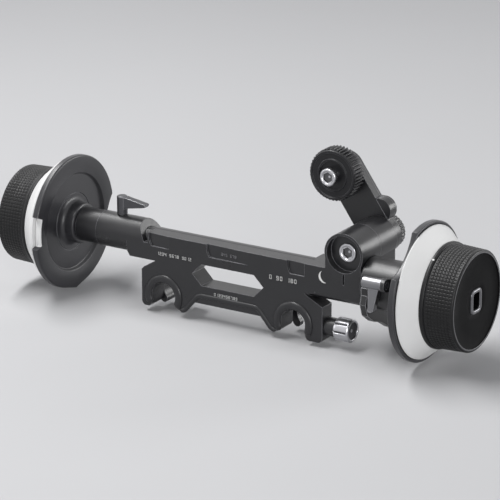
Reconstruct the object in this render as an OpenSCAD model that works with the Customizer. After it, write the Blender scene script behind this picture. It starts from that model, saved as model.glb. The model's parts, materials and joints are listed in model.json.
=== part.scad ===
// Follow focus unit: a bridge that hangs on two studio rods, a hand wheel at each end of one
// through shaft, and a swinging arm that carries the focus gear.
// Millimetres, +X along the bridge, +Y towards the back, +Z up.
// The origin lies midway between the two rods' axes, in the upright plane of the wheel shaft.

/* [Rods] */
// Radius of the studio rods
rod_r = 9.5; // [7.5:0.25:10]
// Distance between the two rods' axes
rod_gap = 104; // [100:1:108]

/* [Wheel shaft] */
// Height of the wheel shaft above the rods' axes
shaft_z = 36.4; // [34:0.2:40]
// Radius of the wheel shaft
shaft_r = 4; // [3:0.25:4.5]
// Radial clearance of parts that turn in each other
run_fit = 0.05; // [0.02:0.01:0.1]
// Radial clearance of parts that are fixed in each other
snug_fit = 0.02; // [0.01:0.01:0.05]
// Gap between neighbours that pass without touching
gap = 0.3; // [0.2:0.05:0.5]

/* [Bridge] */
// Distance of the front face from the shaft's upright plane
front_y = 12.4; // [12:0.1:13]
// Depth of the legs and the beam, front to back
leg_depth = 15.2; // [14:0.2:18]
// Height of the top bar's upper face above the shaft
bar_up = 7.3; // [6.5:0.1:8]
// Depth of the top bar's lower face below the shaft
bar_down = 8; // [7.5:0.1:9]
// Radius of the round spine behind the shaft
spine_r = 7.5; // [6.5:0.1:8]
// Top of the lower beam above the rods' axes
beam_top = 13.1; // [12:0.1:14]
// Underside of the lower beam above the rods' axes
beam_low = 5.8; // [4:0.1:7]
// Half width of the window at its top and bottom edges
window_half = 21; // [18:0.5:24]
// How far the window's side corners reach past those edges
window_point = 7.5; // [5:0.5:9]
// Depth of the three shallow recesses in the top bar's face
recess_depth = 1.4; // [0.8:0.1:2]

/* [Legs] */
// Width of the outer left leg
leg_w = 8.4; // [7:0.2:10]
// Length of the left leg below the rods' axes
leg_drop = 9.3; // [8:0.1:11]
// Width of the outer right leg, which holds the clamp screw
clamp_leg_w = 13.2; // [12:0.2:16]
// Length of the right leg below the rods' axes
clamp_leg_drop = 10.4; // [9:0.1:12]
// Depth of that leg, front to back
clamp_leg_depth = 21.3; // [18:0.1:23]
// Length of the two inner legs below the rods' axes
inner_leg_drop = 7.9; // [7:0.1:9]
// Radius of the rounded leg tips
tip_r = 3.6; // [2.5:0.1:4]
// Width of the raised lip around each rod seat
lip_w = 4.2; // [3:0.1:5]
// Depth of the groove outside that lip
lip_groove = 0.9; // [0.5:0.1:1.5]

/* [Left barrel] */
// Radius of the barrel that holds the left wheel's sleeve
barrel_r = 12.4; // [12:0.1:13]
// Distance of the barrel's outer end from the middle
barrel_out = 108.3; // [106:0.2:112]
// Distance of the barrel's inner end from the middle
barrel_in = 64.8; // [62:0.2:68]
// Slant of the barrel's inner end
barrel_slant = 28; // [15:1:35]

/* [Gear block] */
// Distance of the block's inner side from the middle
block_in = 60.5; // [58:0.5:66]
// Distance of the block's outer side from the middle
block_out = 103.7; // [102:0.1:108]
// Depth of the block's underside below the shaft
block_down = 16.1; // [14:0.2:18]
// Radius of the block's lower edges
block_round = 6; // [3:0.5:8]
// Distance of the block's rear face from the shaft's upright plane
block_back = 12.4; // [12:0.1:14]

/* [Cross shaft] */
// Distance of the cross shaft from the middle
cross_x = 90.55; // [89:0.05:92]
// Height of the cross shaft above the wheel shaft
cross_up = 18.7; // [18.5:0.1:20]
// Radius of the round boss around the cross shaft
boss_r = 14.6; // [14:0.1:15.5]
// Radius of the cross shaft
cross_r = 3; // [2.5:0.25:3.5]
// Distance of the arm's front face from the shaft's upright plane
arm_front = 34.4; // [32:0.1:37]
// Depth of the pivot housing's flat underside below the cross shaft
housing_down = 16; // [14.6:0.1:20]

/* [Arm] */
// Module of the spur gears
gear_m = 0.8; // [0.75:0.05:0.85]
// Teeth of each of the four gears inside the arm
arm_teeth = 21; // [20:1:22]
// Face width of the gears inside the arm
arm_gear_w = 4; // [3:0.25:4.2]
// Depth of the arm's housing, without its cover
arm_depth = 6.7; // [6.5:0.1:8]
// Thickness of the housing's front wall and of its cover
arm_wall = 1.9; // [1.5:0.1:2.1]
// Thickness of the arm's rear cover
cover_t = 1.9; // [1.6:0.1:3]
// Angle from level of the line from the cross shaft to the focus gear
arm_angle = 125.3; // [100:0.1:140]
// Radius of the arm's lower end
arm_hub_r = 13; // [12.6:0.1:14.4]
// Radius of the arm's upper end
arm_end_r = 12.9; // [12:0.1:14]
// Radius of the lobe at the arm's side
lobe_r = 8.25; // [7:0.05:9]

/* [Focus gear] */
// Teeth of the focus gear
focus_teeth = 44; // [40:1:46]
// Face width of the focus gear
focus_w = 12; // [9:0.2:13]
// Radius of the gear's axle
axle_r = 3; // [2.5:0.25:3.5]

/* [Rear knob] */
// Radius of the rear drag knob
drag_r = 12; // [10:0.1:13]
// Length of the rear drag knob
drag_len = 6.5; // [5:0.5:10]

/* [Wheels] */
// Distance of the left index plate from the middle
left_plate_x = 135.5; // [132:0.1:140]
// Distance of the right index plate from the middle
right_plate_x = 143.2; // [140:0.1:146]
// Radius of the index plates
plate_r = 47.4; // [46:0.1:49]
// How far the left plate's pointer stands out of its rim
pointer = 2.2; // [1:0.1:3]
// Depth of the plates' skirt
plate_skirt = 4.8; // [4:0.1:6]
// Thickness of the plates' web
plate_web = 2.4; // [2:0.1:3]
// Outer radius of the groove in the plates' inner face
groove_r = 36; // [30:0.1:38]
// Width of that groove
groove_w = 3; // [2:0.1:4]
// Radius of the flange in the middle of the plates
plate_flange_r = 17.5; // [17:0.1:19]
// Length of that flange on the left plate
left_flange = 9.5; // [6:0.1:11]
// Large radius of the white marking rings
ring_r = 45; // [43:0.1:46]
// Small radius of the white marking rings
ring_small_r = 35.4; // [34.6:0.1:38]
// Length of the white marking rings
ring_len = 12; // [9:0.1:14]
// Radius of the wheels at their base
wheel_r = 35; // [34:0.1:36]
// Radius of the wheels at their outer end
wheel_end_r = 34.3; // [33.5:0.1:35]
// Radius of the rim around the sunk outer face
nose_r = 31.5; // [31:0.1:33]
// Length of the rounded nose at the outer end
nose_len = 3.4; // [2.5:0.1:4.5]
// Length of the whole wheel unit, from the plate's inner face
unit_len = 40.8; // [39:0.1:43]
// Outer width and height of the socket in the wheels
socket_w = 14.5; // [13:0.1:16]
socket_h = 17; // [15:0.1:18]
// Inner width and height of the socket
socket_in_w = 9; // [8:0.1:10]
socket_in_h = 11.4; // [10:0.1:12.5]
// Depth of the socket
socket_depth = 9; // [6:0.1:10]

/* [Sleeves] */
// Radius of the left sleeve inside the barrel
sleeve_r = 9.5; // [9:0.1:10]
// Radius of the left sleeve's visible stretch
sleeve_out_r = 12; // [11:0.1:12.2]
// Radius of the right sleeve's visible stretch
right_sleeve_r = 16.5; // [15:0.1:16.6]
// Radius of the spigots that carry the index plates
plate_seat_r = 8; // [7.5:0.1:9]
// Radius of the spigot that sits in the gear block
block_seat_r = 10; // [9:0.1:11]

/* [Rod clamp] */
// Radius of the shoe that presses on the rod
shoe_r = 5.4; // [5:0.1:6]
// Length of the shoe
shoe_len = 5; // [4:0.1:6]
// Radius of the clamp screw
screw_r = 3; // [2.5:0.1:3.5]
// Radius of the fluted clamp knob
clamp_knob_r = 8.1; // [7:0.1:9]
// Length of the fluted clamp knob
clamp_knob_len = 11.8; // [9:0.1:17]
// Gap between the leg and the knob
clamp_knob_gap = 7.8; // [5:0.1:9]
// Number of flutes in the clamp knob
flutes = 10; // [8:1:12]

/* [Levers] */
// Radius of the left lever's hub
lever_hub_r = 3.7; // [3:0.1:4]
// Height of the left lever's hub
lever_hub_h = 13.2; // [11:0.1:15]
// Reach of the left lever from its hub
lever_reach = 20.6; // [16:0.1:24]
// Distance of the left lever from the middle
lever_x = 93.8; // [92:0.1:96]
// Radius of the levers' studs
stud_r = 2.5; // [2:0.1:3]
// Radius of the right lever's hub
side_hub_r = 4; // [3.5:0.1:4.5]
// Length of the right lever's hub
side_hub_len = 14.9; // [13:0.1:16]
// Length of the right lever's arm
side_lever_len = 19.5; // [16:0.1:22]
// Distance of the right lever in front of the shaft
side_lever_y = 21; // [20:0.1:22]
// Height of the right lever above the shaft
side_lever_up = 6.6; // [4:0.1:8]

/* [Hidden] */
$fn = 64;

// Small sizes of the pieces
over = 1;                                   // overrun of every cut
tuck = 0.02;                                // straight sides lie this far inside the round ends they meet
edge = 0.6;                                 // common small chamfer
half_gap = rod_gap / 2;
cross_z = shaft_z + cross_up;
shaft_teeth = 12;                           // teeth of the helical gear on the wheel shaft
cross_teeth = 18;                           // teeth of the helical gear on the cross shaft
shaft_gear_r = cross_up * shaft_teeth / (shaft_teeth + cross_teeth);
cross_gear_r = cross_up - shaft_gear_r;
crossed_w = 8.4;                            // face width of the crossed gears
crossed_clear = 0.2;                        // the crossed gears' tips stay this far inside the pitch line
crossed_tooth = 1.7;                        // depth of the crossed gears' teeth
chamber_r = cross_gear_r + gap;
bore_end = -barrel_in - barrel_r;             // inner end of the sleeve's bore in the barrel
bush_len = 6;
bush_wall = 2;
sleeve_bore_r = shaft_r + bush_wall;
slit_w = 1.2;
slit_share = 0.3;                           // share of the front half that the slit goes in
bowl_r = 12.9;
bowl_depth = 6;
arm_link = gear_m * arm_teeth;              // centre distance of two neighbouring arm gears
tooth_up_share = 0.8;
tooth_down_share = 1.1;
// Places of the arm's axles in the X and Z plane
axis_a = [cross_x, cross_z];
arm_line = [cos(arm_angle), sin(arm_angle)];
axis_one = axis_a + arm_link * arm_line;
axis_two = axis_a + 2 * arm_link * arm_line;
axis_d = axis_a + 3 * arm_link * arm_line;
// The lobe lies beside the lower half of the arm
lobe_shares = [0.04, 1.083];
lobe_at = axis_a + arm_link * lobe_shares;
// Shares of one tooth pitch that the tooth takes at its root and its tip
root_share = 0.31;
tip_share = 0.13;
arm_tip_r = gear_m * (arm_teeth / 2 + tooth_up_share);
gear_y = arm_front + arm_wall + (arm_depth - arm_wall - arm_gear_w) / 2;
cover_y = arm_front + arm_depth;
arm_back = cover_y + cover_t;
spigot_r = 8;
pin_r = 2;
pin_seat = 1.2;
focus_gap = 0.9;
focus_back = arm_front - focus_gap;
focus_front = focus_back - focus_w;
gear_recess_r = 10.5;
gear_recess = 1.6;
gear_head_r = 6.1;
gear_head_h = 7.7;
gear_neck_r = 4.2;
head_share = 0.55;                          // share of the screw's height that its head takes
drag_gap = 1.5;
drag_stud_r = 4;
drag_boss_r = 8.6;
drag_boss_h = drag_gap - gap;
pad_t = 0.9;

function tooth(n, m, phase, i) = let (p = 360 / n, a = phase + p * i,
        rr = m * (n / 2 - tooth_down_share), rt = m * (n / 2 + tooth_up_share))
    [[rr * cos(a - p * root_share), rr * sin(a - p * root_share)],
     [rt * cos(a - p * tip_share), rt * sin(a - p * tip_share)],
     [rt * cos(a + p * tip_share), rt * sin(a + p * tip_share)],
     [rr * cos(a + p * root_share), rr * sin(a + p * root_share)]];

// Angle of a tooth on the second of two equal meshed gears, from a tooth on the first
function meshed(phase, n, line) = line + 180 - 180 / n + line - phase;

phase_a = 0;
phase_one = meshed(phase_a, arm_teeth, arm_angle);
phase_two = meshed(phase_one, arm_teeth, arm_angle);
phase_d = meshed(phase_two, arm_teeth, arm_angle);

module spur(n, m, phase) {
    polygon([for (i = [0 : n - 1]) each tooth(n, m, phase, i)]);
}

// An outline in X and Z carried from y0 to y1
module along_y(y0, y1) {
    translate([0, y1, 0]) rotate([90, 0, 0]) linear_extrude(y1 - y0) children();
}

// An outline in Y and Z carried from x0 to x1
module along_x(x0, x1) {
    translate([x0, 0, 0]) rotate([90, 0, 90]) linear_extrude(x1 - x0) children();
}

module rod_x(x0, x1, r, r_end = undef) {
    translate([x0, 0, 0]) rotate([0, 90, 0])
        cylinder(h = x1 - x0, r1 = r, r2 = r_end == undef ? r : r_end);
}

module rod_y(y0, y1, r, r_end = undef) {
    translate([0, y0, 0]) rotate([-90, 0, 0])
        cylinder(h = y1 - y0, r1 = r, r2 = r_end == undef ? r : r_end);
}

module tube_x(x0, x1, r, bore) {
    difference() {
        rod_x(x0, x1, r);
        rod_x(x0 - over, x1 + over, bore);
    }
}

module tube_y(y0, y1, r, bore) {
    difference() {
        rod_y(y0, y1, r);
        rod_y(y0 - over, y1 + over, bore);
    }
}

module at_shaft() { translate([0, 0, shaft_z]) children(); }
module at_axis(c) { translate([c[0], 0, c[1]]) children(); }

// A disc with a wedge from angle a0 over the given sweep
module sector(r, a0, sweep) {
    far = r * 2;
    intersection() {
        circle(r);
        polygon([[0, 0], for (i = [0 : 4]) far * [cos(a0 + sweep * i / 4), sin(a0 + sweep * i / 4)]]);
    }
}

// The outline around two circles, with straight sides that touch both
module link(c1, r1, c2, r2) {
    d = norm(c2 - c1);
    line = atan2(c2[1] - c1[1], c2[0] - c1[0]);
    a = acos((r1 - r2) / d);
    s1 = r1 - tuck;
    s2 = r2 - tuck;
    translate(c1) circle(r1);
    translate(c2) circle(r2);
    polygon([c1 + s1 * [cos(line + a), sin(line + a)], c2 + s2 * [cos(line + a), sin(line + a)],
        c2 + s2 * [cos(line - a), sin(line - a)], c1 + s1 * [cos(line - a), sin(line - a)]]);
}

// Bridge
module leg(x0, x1, drop) {
    translate([x0, -drop + tip_r]) square([x1 - x0, drop + beam_low - tip_r]);
    translate([x0 + tip_r, -drop]) square([x1 - x0 - 2 * tip_r, tip_r * 2]);
    for (x = [x0 + tip_r, x1 - tip_r]) translate([x, -drop + tip_r]) circle(tip_r);
}

module saddle_side(side) {
    // The inner leg leans out of the beam in a straight slope and ends in a round tip
    inner = half_gap - rod_r;
    tip = [side * (inner - tip_r), -inner_leg_drop + tip_r];
    link(tip, tip_r, [side * (window_half + tip_r), beam_low + tip_r], tip_r);
    polygon([[side * inner, tip[1]], [side * inner, beam_top], [side * window_half, beam_top],
        [side * (window_half + tip_r), beam_low + tip_r], tip]);
}

shoulder_z = shaft_z - bar_down - window_point;   // height of the slopes over the outer legs
web_z = shaft_z - front_y + edge / 2;             // underside of the web below the barrel
notch_x = half_gap + rod_r - leg_w / 3;
clamp_leg_top = shoulder_z + leg_w / 5;           // height of the right leg's slope at its inner end
clamp_leg_fall = 7.5;                             // how much that slope drops to the leg's outer side

module front_outline() {
    left_out = -half_gap - rod_r - leg_w;
    right_out = half_gap + rod_r + clamp_leg_w;
    leg(left_out, -half_gap - rod_r, leg_drop);
    leg(half_gap + rod_r, right_out, clamp_leg_drop);
    for (side = [-1, 1]) saddle_side(side);
    translate([-window_half - tip_r, beam_low]) square([2 * (window_half + tip_r), beam_top - beam_low]);
    // Upper part, from the barrel's web on the left to the gear block on the right
    polygon([[-barrel_in, shaft_z + bar_up], [block_in + leg_w, shaft_z + bar_up],
        [block_in + leg_w, web_z], [block_in, clamp_leg_top],
        [right_out, clamp_leg_top - clamp_leg_fall], [right_out, 0], [left_out, 0],
        [left_out, shoulder_z - leg_w / 2], [left_out + leg_w / 4, shoulder_z - leg_w / 4],
        [-notch_x, web_z], [-notch_x - leg_w * 2.5, web_z],
        [-notch_x - leg_w * 2.8, shaft_z - bar_down], [-notch_x - leg_w * 2.8, shaft_z],
        [-barrel_in, shaft_z]]);
}

// The right leg alone, which is deeper than the rest
module clamp_leg_outline() {
    x0 = half_gap + rod_r;
    x1 = x0 + clamp_leg_w;
    leg(x0, x1, clamp_leg_drop);
    polygon([[x0, 0], [x1, 0], [x1, clamp_leg_top - clamp_leg_fall], [x0, clamp_leg_top]]);
}

module window_outline() {
    mid = (shaft_z - bar_down + beam_top) / 2;
    polygon([[-window_half, beam_top], [window_half, beam_top], [window_half + window_point, mid],
        [window_half, shaft_z - bar_down], [-window_half, shaft_z - bar_down],
        [-window_half - window_point, mid]]);
}

recess_len = 34;
recess_starts = [-barrel_in + edge, -17, 47];
recess_runs = [recess_len / 2, recess_len, recess_len * 0.65];
recess_low = 1.8;

// A recess that is deepest at its left wall and fades out to the right
module recess(x0, run) {
    intersection() {
        along_y(-front_y - over, -front_y + recess_depth + over)
            polygon([[x0, shaft_z + bar_up + over], [x0 + edge, shaft_z + recess_low],
                [x0 + edge + recess_low, shaft_z - recess_low], [x0 + run, shaft_z - recess_low],
                [x0 + run, shaft_z + bar_up + over]]);
        linear_extrude(shaft_z + bar_up + over)
            polygon([[x0 - over, -front_y - over], [x0 - over, -front_y + recess_depth],
                [x0, -front_y + recess_depth], [x0 + run, -front_y], [x0 + run, -front_y - over]]);
    }
}

// Round head on straight sides, shared by the bridge's boss and the pivot housing
module arch(down) {
    translate(axis_a) circle(boss_r);
    polygon([[cross_x - boss_r + edge, cross_z - down], [cross_x - boss_r + edge, cross_z],
        [block_out, cross_z], [block_out, cross_z - down]]);
}

module block_outline() {
    round_z = -block_down + block_round;
    translate([-front_y, round_z]) square([front_y + block_back, bar_up - round_z]);
    translate([-front_y + block_round, -block_down])
        square([front_y + block_back - 2 * block_round, block_round * 2]);
    for (y = [-front_y + block_round, block_back - block_round])
        translate([y, round_z]) circle(block_round);
}

module bridge_body() {
    color("#242528") difference() {
        union() {
            difference() {
                along_y(-front_y, leg_depth - front_y) front_outline();
                along_y(0, clamp_leg_depth - front_y) clamp_leg_outline();
                along_y(-front_y - over, leg_depth - front_y + over) window_outline();
                for (i = [0 : 2]) recess(recess_starts[i], recess_runs[i]);
                for (side = [-1, 1]) translate([side * half_gap, 0, 0]) {
                    // Groove around the raised lip of the rod seat, on the front face alone
                    difference() {
                        tube_y(-front_y - over, -front_y + lip_groove, rod_r + lip_w + 2 * edge, rod_r + lip_w);
                        translate([-rod_gap, -front_y - 2 * over, -rod_gap - rod_r / 2])
                            cube([2 * rod_gap, 4 * over, rod_gap]);
                    }
                }
            }
            difference() {
                at_shaft() rod_x(-barrel_out, -barrel_in + edge, barrel_r);
                translate([-barrel_in - barrel_r / 4, 0, shaft_z]) rotate([0, -barrel_slant, 0])
                    translate([0, -barrel_r * 2, -barrel_r * 0.4]) cube(barrel_r * 4);
            }
            at_shaft() rod_x(-barrel_in - barrel_r / 2, block_in + over, spine_r);
            at_shaft() along_x(block_in, block_out) block_outline();
            along_y(-front_y, block_back) arch(cross_z - shaft_z);
        }
        // Rod seats
        for (side = [-1, 1]) translate([side * half_gap, 0, 0])
            rod_y(-front_y - over, leg_depth - front_y + over, rod_r);
        // Bores on the wheel shaft's axis
        at_shaft() {
            rod_x(-barrel_out - over, bore_end, sleeve_r + snug_fit);
            rod_x(bore_end - over, block_out + over, shaft_r + bush_wall + snug_fit);
            rod_x(cross_x - crossed_w / 2 - gap, cross_x + crossed_w / 2 + gap, shaft_gear_r + gap);
            rod_x(block_out - spigot_in, block_out + over, block_seat_r + snug_fit);
        }
        translate([-lever_x, 0, shaft_z]) cylinder(h = barrel_r + over, r = stud_r + run_fit);
        // Bores and recesses on the cross shaft's axis
        translate([cross_x, 0, cross_z]) {
            rod_y(-front_y - over, -front_y + bowl_depth, bowl_r);
            rod_y(-front_y, block_back, cap_thread_r + snug_fit);
            rod_y(-crossed_w / 2 - gap, block_back + over, chamber_r);
        }
        // Slit below the boss
        translate([cross_x - slit_w / 2, -front_y - over, shaft_z - bar_up / 3])
            cube([slit_w, front_y * slit_share + over, cross_z - boss_r + bar_up / 3 - shaft_z + over]);
        // Bore of the clamp shoe and screw
        translate([half_gap, leg_depth / 2 - front_y, 0]) {
            rod_x(0, rod_r + clamp_leg_w - bush_wall * 2, shoe_r + run_fit);
            rod_x(0, rod_r + clamp_leg_w + over, screw_r + run_fit);
        }
    }
}

// Two bushes in the bridge and one in the outer end of each sleeve
bush_starts = [-left_plate_x - plate_skirt, bore_end + gap, block_in + bush_len,
    right_plate_x + plate_skirt - bush_len];

module shaft_bushes() {
    color("#b08d4a") at_shaft() for (x = bush_starts)
        tube_x(x, x + bush_len, shaft_r + bush_wall, shaft_r + run_fit);
}

// Wheel shaft
spigot_in = 2;                              // how deep the right sleeve sits in the block
shaft_left = left_plate_x + unit_len - socket_depth - edge;
shaft_right = right_plate_x + unit_len - socket_depth - edge;

module wheel_shaft() {
    color("#9a9ca0") at_shaft() rod_x(-shaft_left, shaft_right, shaft_r);
}

module crossed_gear(n, r) {
    // Teeth at 45 degrees to the axis, cut as a right-hand twist
    rr = r - crossed_clear / 2 - crossed_tooth;
    rt = r - crossed_clear / 2;
    p = 360 / n;
    twist = 180 / PI * crossed_w / r;
    translate([0, 0, -crossed_w / 2]) difference() {
        linear_extrude(crossed_w, twist = -twist, slices = 6)
            polygon([for (i = [0 : n - 1]) each
                [rr * [cos(p * (i - root_share)), sin(p * (i - root_share))],
                 rt * [cos(p * (i - tip_share)), sin(p * (i - tip_share))],
                 rt * [cos(p * (i + tip_share)), sin(p * (i + tip_share))],
                 rr * [cos(p * (i + root_share)), sin(p * (i + root_share))]]]);
        children();
    }
}

module shaft_gear() {
    color("#8d8f93") translate([cross_x, 0, shaft_z]) rotate([0, 90, 0]) crossed_gear(shaft_teeth, shaft_gear_r)
        translate([0, 0, -over]) cylinder(h = crossed_w + 2 * over, r = shaft_r + snug_fit);
}

module shaft_collars() {
    color("#8d8f93") at_shaft() {
        tube_x(bore_end - bush_wall, bore_end,
            shaft_r + bush_wall - run_fit, shaft_r + snug_fit);
        tube_x(block_out - bush_wall * 2, block_out - bush_wall,
            shaft_r + bush_wall - run_fit, shaft_r + snug_fit);
    }
}

// Sleeves
module left_sleeve() {
    color("#2b2c2f") at_shaft() difference() {
        union() {
            rod_x(-left_plate_x + left_flange + gap, -barrel_out - gap, sleeve_out_r);
            rod_x(-barrel_out - over, bore_end - gap, sleeve_r);
            rod_x(-left_plate_x - plate_skirt, -barrel_out, plate_seat_r);
        }
        rod_x(-left_plate_x - plate_skirt - over, bore_end + over, sleeve_bore_r + snug_fit);
    }
}

module right_sleeve() {
    color("#242528") difference() {
        at_shaft() union() {
            rod_x(block_out, block_out + edge * 3, right_sleeve_r - edge * 3, right_sleeve_r);
            rod_x(block_out + edge * 3, right_plate_x - plate_web - gap, right_sleeve_r);
            rod_x(block_out - spigot_in, block_out + over, block_seat_r);
            rod_x(block_out, right_plate_x + plate_skirt, plate_seat_r);
        }
        at_shaft() rod_x(block_out - spigot_in - over, right_plate_x + plate_skirt + over,
            sleeve_bore_r + snug_fit);
        // Room for the bridge's round boss
        translate([cross_x, 0, cross_z]) rod_y(-front_y - over, block_back + over, boss_r + snug_fit);
    }
}

// Wheel unit, drawn outwards from the index plate's inner face
module on_left() { translate([-left_plate_x, 0, shaft_z]) mirror([1, 0, 0]) children(); }
module on_right() { translate([right_plate_x, 0, shaft_z]) children(); }

module revolve_x(points) {
    rotate([0, 90, 0]) rotate_extrude() polygon(points);
}

ring_start = plate_skirt;
wheel_start = ring_start + ring_len;
ring_bore_r = wheel_r - 3 * edge;
socket_floor = 2.5;                         // thickness of the socket's floor
groove_depth = 0.8;
notch_angles = [162, 190];
notch_depth = 5;
pointer_angle = 270;
hollow_r = plate_r - 2 * edge - plate_web;       // radius of the hollow behind the plates' web
// Round cut in the right plate's rim
rim_cut_r = 40;
rim_cut_at = 79.4;
rim_cut_angle = 132;

module index_plate(flange) {
    difference() {
        revolve_x([[0, -flange], [plate_flange_r - 2 * edge, -flange], [plate_flange_r, -flange + 2 * edge],
            [plate_flange_r, 0], [plate_r, 0], [plate_r, plate_web], [plate_r - 2 * edge, plate_skirt],
            [0, plate_skirt]]);
        // Groove in the inner face
        revolve_x([[groove_r - groove_w, -over], [groove_r, -over], [groove_r - edge, groove_depth],
            [groove_r - groove_w + edge, groove_depth]]);
        // Hollow behind the web
        revolve_x([[plate_flange_r, plate_web], [hollow_r, plate_web], [hollow_r, plate_skirt + over],
            [plate_flange_r, plate_skirt + over]]);
        rod_x(-flange - over, plate_skirt + over, plate_seat_r + run_fit);
        children();
    }
}

module left_index_plate() {
    // The pointer's flanks run off the rim as tangents
    flank = acos(plate_r / (plate_r + pointer));
    color("#6e7074") on_left() {
        index_plate(left_flange) along_x(-over, plate_skirt + over) difference() {
            sector(plate_r + over, notch_angles[0], notch_angles[1] - notch_angles[0]);
            circle(plate_r - notch_depth);
        }
        along_x(0, plate_web) polygon([plate_r * [cos(pointer_angle - flank), sin(pointer_angle - flank)],
            (plate_r + pointer) * [cos(pointer_angle), sin(pointer_angle)],
            plate_r * [cos(pointer_angle + flank), sin(pointer_angle + flank)],
            (plate_r - plate_web) * [cos(pointer_angle), sin(pointer_angle)]]);
    }
}

module right_index_plate() {
    color("#6e7074") on_right() index_plate(plate_web)
        translate([0, rim_cut_at * cos(rim_cut_angle), rim_cut_at * sin(rim_cut_angle)])
            rod_x(-over, plate_skirt + over, rim_cut_r);
}

module marking_ring() {
    revolve_x([[ring_bore_r, ring_start + gap], [ring_r, ring_start + gap],
        [ring_r, ring_start + gap + edge], [ring_small_r, wheel_start], [ring_bore_r, wheel_start]]);
}

module left_marking_ring() { color("#f2f2ee") on_left() marking_ring(); }
module right_marking_ring() { color("#f2f2ee") on_right() marking_ring(); }

wheel_flange = 0.9;                         // how far the wheel's base flange stands out
wheel_flange_len = 3;
core_r = 26;                                // radius of the core inside the wheel
wheel_hub_r = 12;
wheel_web = wheel_start + wheel_flange_len + edge;
wheel_floor = unit_len - socket_depth - socket_floor;
nose_start = unit_len - nose_len;

module hand_wheel() {
    // A plain ring with a spigot at its base that carries the marking ring
    revolve_x([[core_r + snug_fit, ring_start + gap * 2], [ring_bore_r - snug_fit, ring_start + gap * 2],
        [ring_bore_r - snug_fit, wheel_start], [wheel_r + wheel_flange - edge / 2, wheel_start],
        [wheel_r + wheel_flange, wheel_start + edge],
        [wheel_r + wheel_flange, wheel_start + wheel_flange_len - edge],
        [wheel_r, wheel_start + wheel_flange_len], [wheel_end_r, nose_start],
        [core_r + snug_fit, nose_start]]);
}

module left_wheel() { color("#1d1d1f") on_left() hand_wheel(); }
module right_wheel() { color("#1d1d1f") on_right() hand_wheel(); }

module wheel_core() {
    revolve_x([[shaft_r + snug_fit, ring_start + gap * 2], [wheel_hub_r, ring_start + gap * 2],
        [wheel_hub_r, wheel_web], [core_r, wheel_web], [core_r, wheel_floor], [shaft_r + snug_fit, wheel_floor]]);
}

module left_wheel_core() { color("#5b5d61") on_left() wheel_core(); }
module right_wheel_core() { color("#5b5d61") on_right() wheel_core(); }

module rounded_rect(w, h, r) {
    square([w - 2 * r, h], center = true);
    square([w, h - 2 * r], center = true);
    for (x = [-1, 1], y = [-1, 1]) translate([x * (w / 2 - r), y * (h / 2 - r)]) circle(r);
}

socket_round = 4;
face_sink = 0.9;
rim_w = 1.1;                                // width of the flat rim around the sunk face

// Shares of the nose's length: how far its rounding has come in, and how far along it has gone
nose_shares = [[0.12, 0.5], [0.4, 0.85]];

module wheel_cap() {
    difference() {
        revolve_x([[0, wheel_floor + edge / 4], [core_r - snug_fit, wheel_floor + edge / 4],
            [core_r - snug_fit, nose_start], [wheel_end_r, nose_start],
            [wheel_end_r - nose_len * nose_shares[0][0], nose_start + nose_len * nose_shares[0][1]],
            [wheel_end_r - nose_len * nose_shares[1][0], nose_start + nose_len * nose_shares[1][1]],
            [nose_r, unit_len], [nose_r - rim_w, unit_len], [nose_r - rim_w - edge / 2, unit_len - face_sink],
            [0, unit_len - face_sink]]);
        along_x(wheel_floor - over, unit_len + over)
            rounded_rect(socket_w + 2 * snug_fit, socket_h + 2 * snug_fit, socket_round);
    }
}

module left_wheel_cap() { color("#1a1a1c") on_left() wheel_cap(); }
module right_wheel_cap() { color("#1a1a1c") on_right() wheel_cap(); }

module whip_socket() {
    difference() {
        along_x(wheel_floor + edge / 4, unit_len) rounded_rect(socket_w, socket_h, socket_round);
        along_x(unit_len - socket_depth, unit_len + over)
            rounded_rect(socket_in_w, socket_in_h, socket_round / 2);
        rod_x(wheel_floor - over, unit_len, shaft_r + snug_fit);
    }
}

module left_whip_socket() { color("#3a3b3e") on_left() whip_socket(); }
module right_whip_socket() { color("#3a3b3e") on_right() whip_socket(); }

// Cross shaft and its housing
cross_end = cover_y + cover_t - pad_t * 2;

module cross_shaft() {
    color("#9a9ca0") at_axis(axis_a) rod_y(-crossed_w / 2, cross_end - pad_t, cross_r);
}

module cross_gear() {
    color("#8d8f93") at_axis(axis_a) rotate([-90, 0, 0]) crossed_gear(cross_teeth, cross_gear_r)
        translate([0, 0, -over]) cylinder(h = crossed_w + 2 * over, r = cross_r + snug_fit);
}

cap_head_r = 6.4;
cap_head_h = 1.2;
cap_thread_r = 5;

module cross_cap_screw() {
    color("#c9cbce") at_axis(axis_a) difference() {
        union() {
            rod_y(-front_y + bowl_depth - cap_head_h, -front_y + bowl_depth, cap_head_r);
            rod_y(-front_y + bowl_depth - edge, -crossed_w / 2 - gap, cap_thread_r);
        }
        rod_y(-front_y, -front_y + bowl_depth - edge / 2, cap_head_r * 0.7);
    }
}

housing_front = block_back - bush_wall;
spigot_len = 1.7;

module pivot_housing() {
    color("#242528") difference() {
        union() {
            along_y(block_back, arm_front - gap) arch(housing_down);
            at_axis(axis_a) rod_y(housing_front, block_back + over, chamber_r - snug_fit);
            at_axis(axis_a) rod_y(arm_front - gap - over, arm_front + spigot_len, spigot_r);
        }
        at_axis(axis_a)
            rod_y(housing_front - over, arm_front + spigot_len + over, cross_r + bush_wall + snug_fit);
    }
}

module pivot_bushes() {
    color("#b08d4a") at_axis(axis_a) for (y = [housing_front, arm_front + spigot_len - bush_len])
        tube_y(y, y + bush_len, cross_r + bush_wall, cross_r + run_fit);
}

// Arm
module arm_outline() {
    link(axis_a, arm_hub_r, axis_d, arm_end_r);
    link(lobe_at, lobe_r, lobe_at - [arm_end_r, 0], lobe_r);
}

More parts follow.
